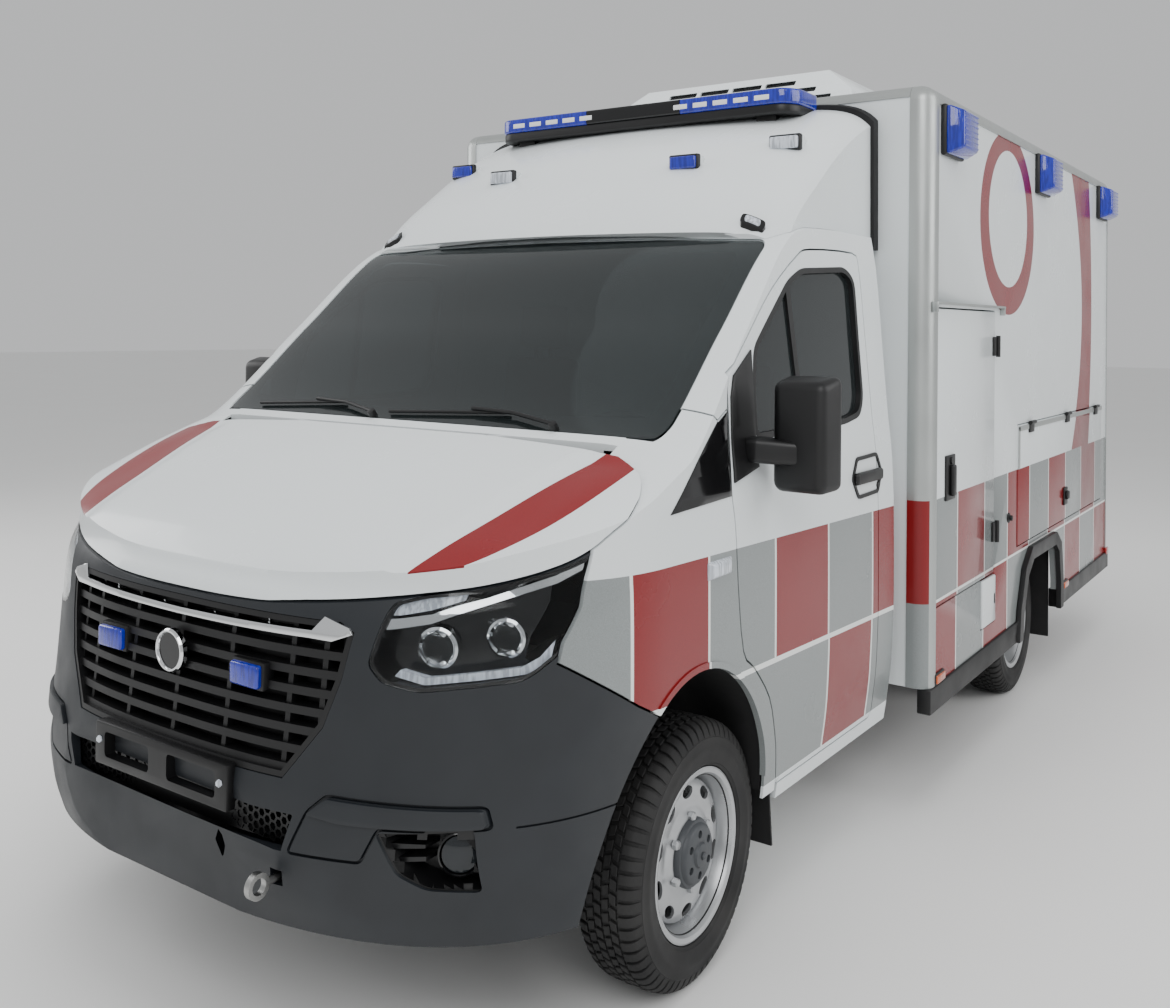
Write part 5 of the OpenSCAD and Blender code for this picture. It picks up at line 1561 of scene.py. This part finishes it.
class RoofFront(Builder, Operator):
    """Builds the roof fairing, its seal, the light bar and the small front lamps"""
    bl_idname = "ambulance.roof_front"
    bl_label = "Roof Front"

    def build(self):
        outer = fairing_solid(0)
        shell = less(outer, fairing_solid(14), cab_skin(-0.4))
        lip = less(both(fairing_solid(-4), less(cab_skin(-18), cab_skin(-1))), fairing_solid(10))
        piece("fairing_shell", shell, "paint", "vehicle", ["roof_fairing"])
        seal = both(less(fairing_solid(-13), fairing_solid(6)),
                    block([-FAR, 1398, 2045], [FAR, 1449, 2800]))
        piece("fairing_seal", softened(seal, 4, 0), "rubber", "vehicle")
        joint = both(lip, block([-FAR, 400, 2000], [FAR, 1424, 2130]))
        piece("fairing_joint", joint, "paint", "vehicle")
        self.light_bar(outer)
        self.lamps(outer)

    def light_bar(self, fairing):
        low, high = station_box("light_bar")
        half, y0, y1, top = high[0], low[1], high[1], high[2]
        z = top - 64

        def section(x0, x1, z0, z1, shrink=0.0):
            outline = [(-half + shrink, y0 + 70), (-half + 46 + shrink, y0 + 8 + shrink),
                       (half - 46 - shrink, y0 + 8 + shrink),
                       (half - shrink, y0 + 70), (half - shrink, y1 - 30), (half - 24, y1 - shrink),
                       (-half + 24, y1 - shrink), (-half + shrink, y1 - 30)]
            slab = softened(prism(rounded(outline, 40), z0, z1, "Z"), 9, 0, 3)
            return both(slab, block([x0, y0 - 40, z0 - 40], [x1, y1 + 40, z1 + 40]))
        foot = less(section(-half, half, z - 30, z + 8, 4), fairing)
        ends = join([section(220, FAR, z + 6, top), section(-FAR, -220, z + 6, top)])
        centre = section(-218, 218, z + 6, top)
        spine = section(-half + 60, half - 60, z + 14, top - 18, 42)
        legs = []
        for side in (1, -1):
            legs.append(less(block([side * 560 - 40, 1230, 2480], [side * 560 + 40, 1390, z]), fairing))
        module = block([-half + 92, y0 + 7.5, z + 20], [-half + 160, y0 + 30, top - 18], 5)
        modules = repeated(module, finish("white_lens"), 5, (86, 0, 0))
        piece("light_bar_foot", join([foot] + legs), "satin", "vehicle")
        piece("light_bar_lenses", ends, "blue", "vehicle", ["light_bar"])
        piece("light_bar_centre", centre, "gloss", "vehicle")
        piece("light_bar_spine", spine, "satin", "vehicle")
        piece("light_bar_modules", both_sides(modules), None, "vehicle")

    def lamps(self, fairing):
        wedges, cases, blue, clear = [], [], [], []
        for side in (1, -1):
            for x, y, blue_side in ((734, 1029, -1), (411, 887, 1)):
                z = fairing_z(x, y - 10) + 14
                x = side * x
                wedge = hull(block([x - 58, y - 6, z - 60], [x + 58, y + 30, z + 26], 6),
                             block([x - 46, y + 30, z - 30], [x + 46, y + 120, z - 6], 4))
                wedges.append(less(wedge, fairing))
                cases.append(block([x - 60, y - 22, z - 30], [x + 60, y + 2, z + 30], 7, 3))
                lens = block([x - 52, y - 34, z - 22], [x + 52, y - 16, z + 22], 6, 3)
                (blue if side * blue_side > 0 else clear).append(lens)
        grille_z = 924
        y = nose_y(267, grille_z, 8)
        for side in (1, -1):
            x = side * 267
            cases.append(block([x - 56, y - 8, grille_z - 34], [x + 56, y + 30, grille_z + 34], 6))
            blue.append(block([x - 50, y - 22, grille_z - 27], [x + 50, y + 6, grille_z + 27], 7, 3))
        piece("fairing_lamp_wedges", join(wedges), "paint", "vehicle", ["warning_lamps"])
        piece("front_lamp_cases", join(cases), "satin", "vehicle")
        piece("front_lamps_blue", join(blue), "blue", "vehicle")
        piece("front_lamps_clear", join(clear), "white_lens", "vehicle")
        x, y = 790, 668
        z = fairing_z(x, y)
        holder = both(block([x - 42, y - 34, z - 60], [x + 42, y - 8, z + 50], 9, 3), fairing_solid(-8))
        holder = less(holder, fairing_solid(3))
        spot = both(block([x - 27, y - 29, z - 60], [x + 27, y - 14, z + 50], 6, 3), fairing_solid(-10))
        spot = less(spot, fairing_solid(-5))
        piece("marker_ovals", both_sides(holder), "gloss", "vehicle")
        piece("marker_oval_lenses", both_sides(spot), "white_lens", "vehicle")


class Mirrors(Builder, Operator):
    """Builds the door mirrors, their sails and the side turn lamps"""
    bl_idname = "ambulance.mirrors"
    bl_label = "Mirrors"

    def build(self):
        x1, z0, z1 = station_box("mirror_left")[1][0], 1293, 1618
        head = hull(block([x1 - 172, 240, z0 + 2], [x1 - 10, 306, z1 - 10], 30, 5),
                    block([x1 - 164, 296, z0 + 8], [x1 - 1, 346, z1], 22, 5))
        pocket = block([x1 - 148, 332, z0 + 26], [x1 - 16, 380, z1 - 22], 14, 4)
        head = less(head, pocket)
        glass = block([x1 - 146, 336, z0 + 28], [x1 - 18, 340, z1 - 24], 1.5)
        arm = hull(block([CAB_HALF - 50, 186, 1376], [CAB_HALF + 6, 274, 1446], 16, 4),
                   block([CAB_HALF + 60, 248, 1368], [CAB_HALF + 118, 322, 1436], 16, 4))
        arm = less(arm, cab_sides(-0.5))
        sail = [(100, 1330), (118, 1440), (146, 1560), (176, 1618), (300, 1690), (262, 1450), (255, 1360)]
        plate = both(less(cab_sides(-6), cab_sides(-0.3)), prism(sail, 400, FAR, "X"))
        trim = join([head, arm, softened(plate, 1.5, 0)])
        x = side_half(0, 1116)
        lamp = hull(block([x - 14, -66, 1092], [x + 4, 68, 1140], 6),
                    block([x - 4, -50, 1098], [x + 12, 52, 1134], 6))
        for name, flip in HANDS:
            body = "door_" + name
            piece("mirror_case_" + name, flip(trim), "satin", body, ["mirror_" + name])
            piece("mirror_glass_" + name, flip(glass), "chrome", body)
        piece("turn_lamps", both_sides(lamp), "white_lens", "vehicle")


# ---------- wheels ----------

class Wheels(Builder, Operator):
    """Builds the treaded tyres, vented rims and hub caps"""
    bl_idname = "ambulance.wheels"
    bl_label = "Wheels"

    def build(self):
        tyre = self.tyre()
        for name, flip in HANDS:
            front = tyre.copy()
            front.transform(Matrix.Translation((FRONT_TRACK * 0.001, 0, 0)))
            body = "wheel_front_" + name
            piece("front_tyre_" + name, flip(front), "tyre", body, ["tyre_front_" + name])
            disc, cap, cover = self.front_rim()
            piece("front_rim_" + name, flip(disc), "wheel", body, ["rim_front_" + name])
            piece("hub_cap_" + name, flip(cap), "hub", body)
            piece("hub_back_" + name, flip(cover), "chassis", body)
            pair = []
            for offset in (REAR_OUTER, REAR_INNER):
                rear = tyre.copy()
                rear.transform(Matrix.Translation((offset * 0.001, WHEELBASE * 0.001, 0)))
                pair.append(rear)
            body = "wheels_rear_" + name
            piece("rear_tyres_" + name, flip(join(pair)), "tyre", body,
                  ["tyres_rear_" + name])
            disc, hub = self.rear_rims()
            piece("rear_rims_" + name, flip(disc), "wheel", body, ["rims_rear_" + name])
            piece("rear_hub_" + name, flip(hub), "hub", body)

    def tyre(self):
        """Carcass with ribbed sidewalls and blocks, at the front axle's middle."""
        half, r = TYRE_WIDTH / 2, TYRE_R
        depth = sizes().tread_depth * 1000
        side = [(200, half - 24), (224, half - 22), (228, half - 12), (234, half - 9), (236, half - 6),
                (262, half - 2.5), (268, half - 0.6), (276, half - 0.6), (280, half - 2),
                (r - 52, half - 4),
                (r - 46, half - 3), (r - 42, half - 7), (r - 26, half - 15), (r - depth - 6, half - 30),
                (r - depth, half - 48)]
        inner = [(r - 40, half - 60), (r - 60, half - 30), (250, half - 22), (200, half - 40)]
        outline = side + [(a, -b) for a, b in side[::-1]]
        outline += [(a, -b) for a, b in inner[::-1]] + inner
        carcass = lathe(outline, (0, 0, r), (1, 0, 0), 128)
        pitches = sizes().tread_pitches
        step = 2 * math.pi * r / pitches
        long, gap = step * 0.70, step * 0.5
        blocks = []
        top, low = 2 * r - 1.6, 2 * r - depth - 3

        def lug(x, y, width, length, slant):
            outline = [(x - width / 2, y - length / 2 - slant), (x + width / 2, y - length / 2 + slant),
                       (x + width / 2, y + length / 2 + slant), (x - width / 2, y + length / 2 - slant)]
            return prism(outline, low, top, "Z")
        for x, shift, slant in ((-34, 0, 3), (-11.5, gap, -3), (11.5, 0, 3), (34, gap, -3)):
            blocks.append(lug(x, shift, 18.5, long, slant))
        for s in (1, -1):
            section = [(s * 48, 2 * r - 1.7), (s * 66, 2 * r - 5), (s * 79, 2 * r - 13),
                       (s * 87, 2 * r - 26),
                       (s * 93, 2 * r - 44), (s * 84, 2 * r - 52), (s * 60, 2 * r - 22),
                       (s * 48, 2 * r - depth - 4)]
            lugs = prism(section, -long / 2, long / 2, "Y")
            if s < 0:
                lugs.transform(Matrix.Translation((0, gap * 0.001, 0)))
            blocks.append(lugs)
        pitch = softened(join(blocks), 1.3, 0, 1)
        tread = repeated(pitch, finish("tyre"), pitches, (0, 0, r), polar=True)
        return join([carcass, tread])

    def vents(self, radius, x):
        """Ten oval holes round a disc."""
        oval = [(27 * math.cos(a), TYRE_R + radius + 16 * math.sin(a)) for a in np.linspace(0, 2 * math.pi, 25)[:-1]]
        hole = prism(oval, x - 80, x + 80, "X")
        return repeated(hole, finish("wheel"), 10, (x, 0, TYRE_R), polar=True)

    def barrel(self, disc):
        """Rim barrel with its disc; disc points are (radius, offset) pairs of the outer face."""
        lip = [(224, 84), (222, 79), (214, 77), (208, 70), (206, 60), (198, 46), (190, 36)]
        back = [(198, -40), (206, -56), (208, -68), (214, -76), (224, -84), (226, -78), (214, -66),
                (212, -50), (205, -34), (196, 20), (204, 44), (212, 60), (214, 68), (226, 80)]
        return lathe(disc + lip[::-1] + [(226, 80)] + back[::-1][1:] + [(disc[-1][0] - 2, disc[-1][1] - 12)]
                     + [(a, b - 8) for a, b in disc[::-1][1:]], (0, 0, TYRE_R), (1, 0, 0), 96)

    def front_rim(self):
        x = FRONT_TRACK
        centre = (x, 0, TYRE_R)
        ring = lathe([(188, -70), (196, -70), (200, -84), (224, -86), (226, -80), (210, -76), (206, -60),
                      (196, -30),
                      (196, 30), (204, 50), (208, 66), (212, 74), (222, 76), (224, 84), (219, 86),
                      (208, 82),
                      (200, 70), (197, 54), (188, 34)], centre, (1, 0, 0), 96)
        disc = lathe([(0, 62), (84, 62), (98, 60), (112, 52), (124, 50), (142, 53), (168, 51), (182, 42),
                      (189, 26),
                      (196, 24), (196, 16), (186, 14), (176, 34), (164, 43), (142, 45), (124, 42),
                      (110, 44),
                      (96, 52), (84, 54), (0, 54)], centre, (1, 0, 0), 96)
        disc = less(disc, self.vents(157, x + 20))
        nut = lathe([(0, 0), (13, 0), (13, 12), (9, 16), (0, 16)], (x + 58, 0, TYRE_R + 96), (1, 0, 0), 6)
        nuts = repeated(nut, finish("steel"), 6, centre, polar=True)
        cap = lathe([(0, 58), (91, 58), (91, 68), (86, 76), (80, 78), (76, 86), (70, 90), (34, 92),
                     (30, 98),
                     (22, 100), (0, 100)], centre, (1, 0, 0), 72)
        dimple = lathe([(0, 84), (10, 84), (11, 110), (0, 110)], (x, 0, TYRE_R + 54), (1, 0, 0), 20)
        cap = less(cap, repeated(dimple, finish("hub"), 6, centre, polar=True))
        bolt = lathe([(0, 98), (11, 98), (11, 104), (7, 107), (0, 107)], centre, (1, 0, 0), 6)
        drum = lathe([(0, -40), (134, -40), (140, -30), (140, 10), (126, 18), (0, 18)], centre, (1, 0, 0),
                     64)
        return join([ring, disc, nuts]), join([cap, bolt]), drum

    def rear_rims(self):
        meshes = []
        for offset in (REAR_OUTER, REAR_INNER):
            centre = (offset, WHEELBASE, TYRE_R)
            ring = lathe([(186, -70), (196, -72), (204, -84), (224, -86), (226, -80), (210, -76),
                          (204, -60),
                          (194, -30), (194, 30), (204, 60), (210, 76), (224, 78), (226, 84), (220, 86),
                          (206, 82),
                          (198, 68), (186, 40)], centre, (1, 0, 0), 96)
            disc = lathe([(82, -72), (104, -70), (120, -60), (140, -56), (166, -50), (180, -38),
                          (186, -24),
                          (194, -24), (194, -34), (184, -48), (168, -58), (140, -66), (122, -70),
                          (106, -80),
                          (82, -82)], centre, (1, 0, 0), 96)
            holes = self.vents(158, offset - 50)
            holes.transform(Matrix.Translation((0, WHEELBASE * 0.001, 0)))
            disc = less(disc, holes)
            meshes += [ring, disc]
        x = REAR_OUTER
        centre = (x, WHEELBASE, TYRE_R)
        nut = lathe([(0, 0), (13, 0), (13, 14), (9, 18), (0, 18)], (x - 70, WHEELBASE, TYRE_R + 97),
                    (1, 0, 0), 6)
        meshes.append(repeated(nut, finish("steel"), 6, centre, polar=True))
        hub = lathe([(0, -140), (84, -140), (84, -62), (72, -52), (66, 6), (58, 18), (30, 22), (0, 22)],
                    centre,
                    (1, 0, 0), 64)
        return join(meshes), hub


# ---------- cabin ----------

class Cabin(Builder, Operator):
    """Builds the cloth seats and finishes the dashboard"""
    bl_idname = "ambulance.cabin"
    bl_label = "Cabin"

    def build(self):
        base = block([-222, 660, 928], [222, 1092, 1050], 40, 4)
        back = hull(block([-210, 1088, 1030], [210, 1146, 1096], 28, 4),
                    block([-186, 1150, 1560], [186, 1216, 1630], 28, 4))
        rest = block([-116, 1160, 1654], [116, 1226, 1836], 28, 4)
        soft = [self.puffed(mesh) for mesh in (base, back, rest)]
        legs = join([block([-200, 690, 684.3], [200, 1090, 935], 10),
                     block([-44, 1180, 1600], [-30, 1196, 1700], 3),
                     block([30, 1180, 1600], [44, 1196, 1700], 3)])
        for x, side in ((430, "left"), (-430, "right")):
            for name, mesh in zip(("cushion", "backrest", "headrest"), soft):
                copy = mesh.copy()
                copy.transform(Matrix.Translation((x * 0.001, 0, 0)))
                made = piece("seat_%s_%s" % (name, side), copy, "cloth", "vehicle",
                             ["seats"])
            stand = legs.copy()
            stand.transform(Matrix.Translation((x * 0.001, 0, 0)))
            piece("seat_stand_" + side, stand, "satin", "vehicle")
        dash = softened(node_copy("dashboard"), 14, 0, 3)
        piece("dash_panel", dash, "cabin", "vehicle", ["dashboard"])

    def puffed(self, mesh):
        """Cushion swollen by a cloth simulation from a slightly smaller shape."""
        holder = placed(mesh)
        remesh = holder.modifiers.new("remesh", "REMESH")
        remesh.mode = "VOXEL"
        remesh.voxel_size = 0.012
        fine = evaluated(holder)
        bpy.data.objects.remove(holder)
        start = np.empty(len(fine.vertices) * 3)
        fine.vertices.foreach_get("co", start)
        holder = placed(fine)
        cloth = holder.modifiers.new("cloth", "CLOTH")
        cloth.settings.use_pressure = True
        cloth.settings.uniform_pressure_force = 4.0
        cloth.settings.effector_weights.gravity = 0.0
        cloth.settings.quality = 4
        scene = bpy.context.scene
        cloth.point_cache.frame_start, cloth.point_cache.frame_end = 1, 20
        for now in range(1, 21):
            scene.frame_set(now)
        swollen = evaluated(holder)
        bpy.data.objects.remove(holder)
        scene.frame_set(1)
        end = np.empty(len(swollen.vertices) * 3)
        swollen.vertices.foreach_get("co", end)
        move = (end - start).reshape(-1, 3)
        length = np.linalg.norm(move, axis=1, keepdims=True)
        move *= np.minimum(1.0, 0.010 / np.maximum(length, 1e-9))
        swollen.vertices.foreach_set("co", (start.reshape(-1, 3) + move).ravel())
        return softened(swollen, 0, 1)


class Underbody(Builder, Operator):
    """Finishes the running gear and the frame pieces that stay as they are"""
    bl_idname = "ambulance.underbody"
    bl_label = "Underbody"

    def build(self):
        dress("chassis", "chassis_frame", "front_axle", "rear_axle", "leaf_springs", "fuel_tank",
              "rear_step")
        dress("cast", "engine_block", "knuckle_left", "knuckle_right")
        dress("steel", "driveline", "exhaust", "tow_eye")
        dress("profile", "locker_liners")
        dress("rubber", "mudflaps")
        dress("cabin", "steering_wheel")


class Stage(Builder, Operator):
    """Lays the pale floor and sets the soft lights and the camera"""
    bl_idname = "ambulance.stage"
    bl_label = "Studio Stage"

    def build(self):
        floor = bpy.data.meshes.new("studio_floor")
        reach = 60.0
        floor.from_pydata([(-reach, -reach, 0), (reach, -reach, 0), (reach, reach, 0),
                           (-reach, reach, 0)],
                          [], [(0, 1, 2, 3)])
        ground = placed(floor, "studio_floor")
        shader = Shader("studio_floor")
        spread = shader.noise(0.6, 3.0)
        shader.base(shader.mix(spread, (0.84, 0.84, 0.83), (0.87, 0.87, 0.86)))
        shader.rough(0.55, 0.7, 1.0)
        floor.materials.append(shader.material)
        world = bpy.data.worlds.new("studio")
        bpy.context.scene.world = world
        world.use_nodes = True
        back = world.node_tree.nodes["Background"]
        back.inputs["Color"].default_value = (0.86, 0.87, 0.88, 1.0)
        back.inputs["Strength"].default_value = 0.72
        self.light("key", (4.5, -7.5, 6.5), (0.2, -1.2, 1.0), 5.0, 330)
        self.light("side", (8.0, 1.5, 4.5), (0.8, 0.6, 1.2), 5.0, 240)
        self.light("top", (0.0, -1.0, 8.5), (0.0, -0.5, 1.0), 7.0, 380, False)
        self.light("rim", (-7.0, -3.0, 4.0), (-0.6, -1.2, 1.0), 4.0, 160)
        self.camera()

    def light(self, name, spot, target, width, power, mirrored_in_paint=True):
        lamp = bpy.data.lights.new(name, "AREA")
        lamp.shape = "SQUARE"
        lamp.size = width
        lamp.energy = power
        holder = bpy.data.objects.new(name, lamp)
        bpy.context.scene.collection.objects.link(holder)
        holder.location = spot
        holder.visible_glossy = mirrored_in_paint
        aim = Vector(target) - Vector(spot)
        holder.rotation_euler = aim.to_track_quat("-Z", "Y").to_euler()

    def camera(self):
        lens = bpy.data.cameras.new("view")
        lens.sensor_width = 36.0
        lens.lens = 35.46
        lens.shift_x = 0.0334
        lens.shift_y = -0.1594
        view = bpy.data.objects.new("view", lens)
        bpy.context.scene.collection.objects.link(view)
        turn = Matrix.Rotation(0.6268, 4, "Z") @ Matrix.Rotation(math.pi / 2 + 0.0082, 4, "X")
        turn = turn @ Matrix.Rotation(0.0104, 4, "Z")
        view.matrix_world = Matrix.Translation((2.428, -2.744 + AXLE_Y, 1.749)) @ turn
        bpy.context.scene.camera = view


PIECES = [CabPanels, CabDoors, FrontEnd, Headlamps, Screen, BoxBody, BoxDoors, RoofFront, Mirrors, Wheels,
          Cabin, Underbody]
OPERATORS = PIECES + [Stage]


class AmbulancePanel(Panel):
    """Lists the ambulance's builders and settings"""
    bl_idname = "VIEW3D_PT_ambulance"
    bl_label = "Ambulance"
    bl_space_type = "VIEW_3D"
    bl_region_type = "UI"
    bl_category = "Ambulance"

    def draw(self, context):
        for group in (context.scene.ambulance_sizes, context.scene.ambulance_colours):
            box = self.layout.box()
            for name in group.__annotations__:
                box.prop(group, name)
        for operator in OPERATORS:
            self.layout.operator(operator.bl_idname)


CLASSES = [AmbulanceSizes, AmbulanceColours] + OPERATORS + [AmbulancePanel]


def register():
    for each in CLASSES:
        bpy.utils.register_class(each)
    bpy.types.Scene.ambulance_sizes = PointerProperty(type=AmbulanceSizes)
    bpy.types.Scene.ambulance_colours = PointerProperty(type=AmbulanceColours)


def unregister():
    del bpy.types.Scene.ambulance_colours
    del bpy.types.Scene.ambulance_sizes
    for each in reversed(CLASSES):
        bpy.utils.unregister_class(each)


def main():
    register()
    for operator in OPERATORS:
        package, name = operator.bl_idname.split(".")
        getattr(getattr(bpy.ops, package), name)()


if __name__ == "__main__":
    main()
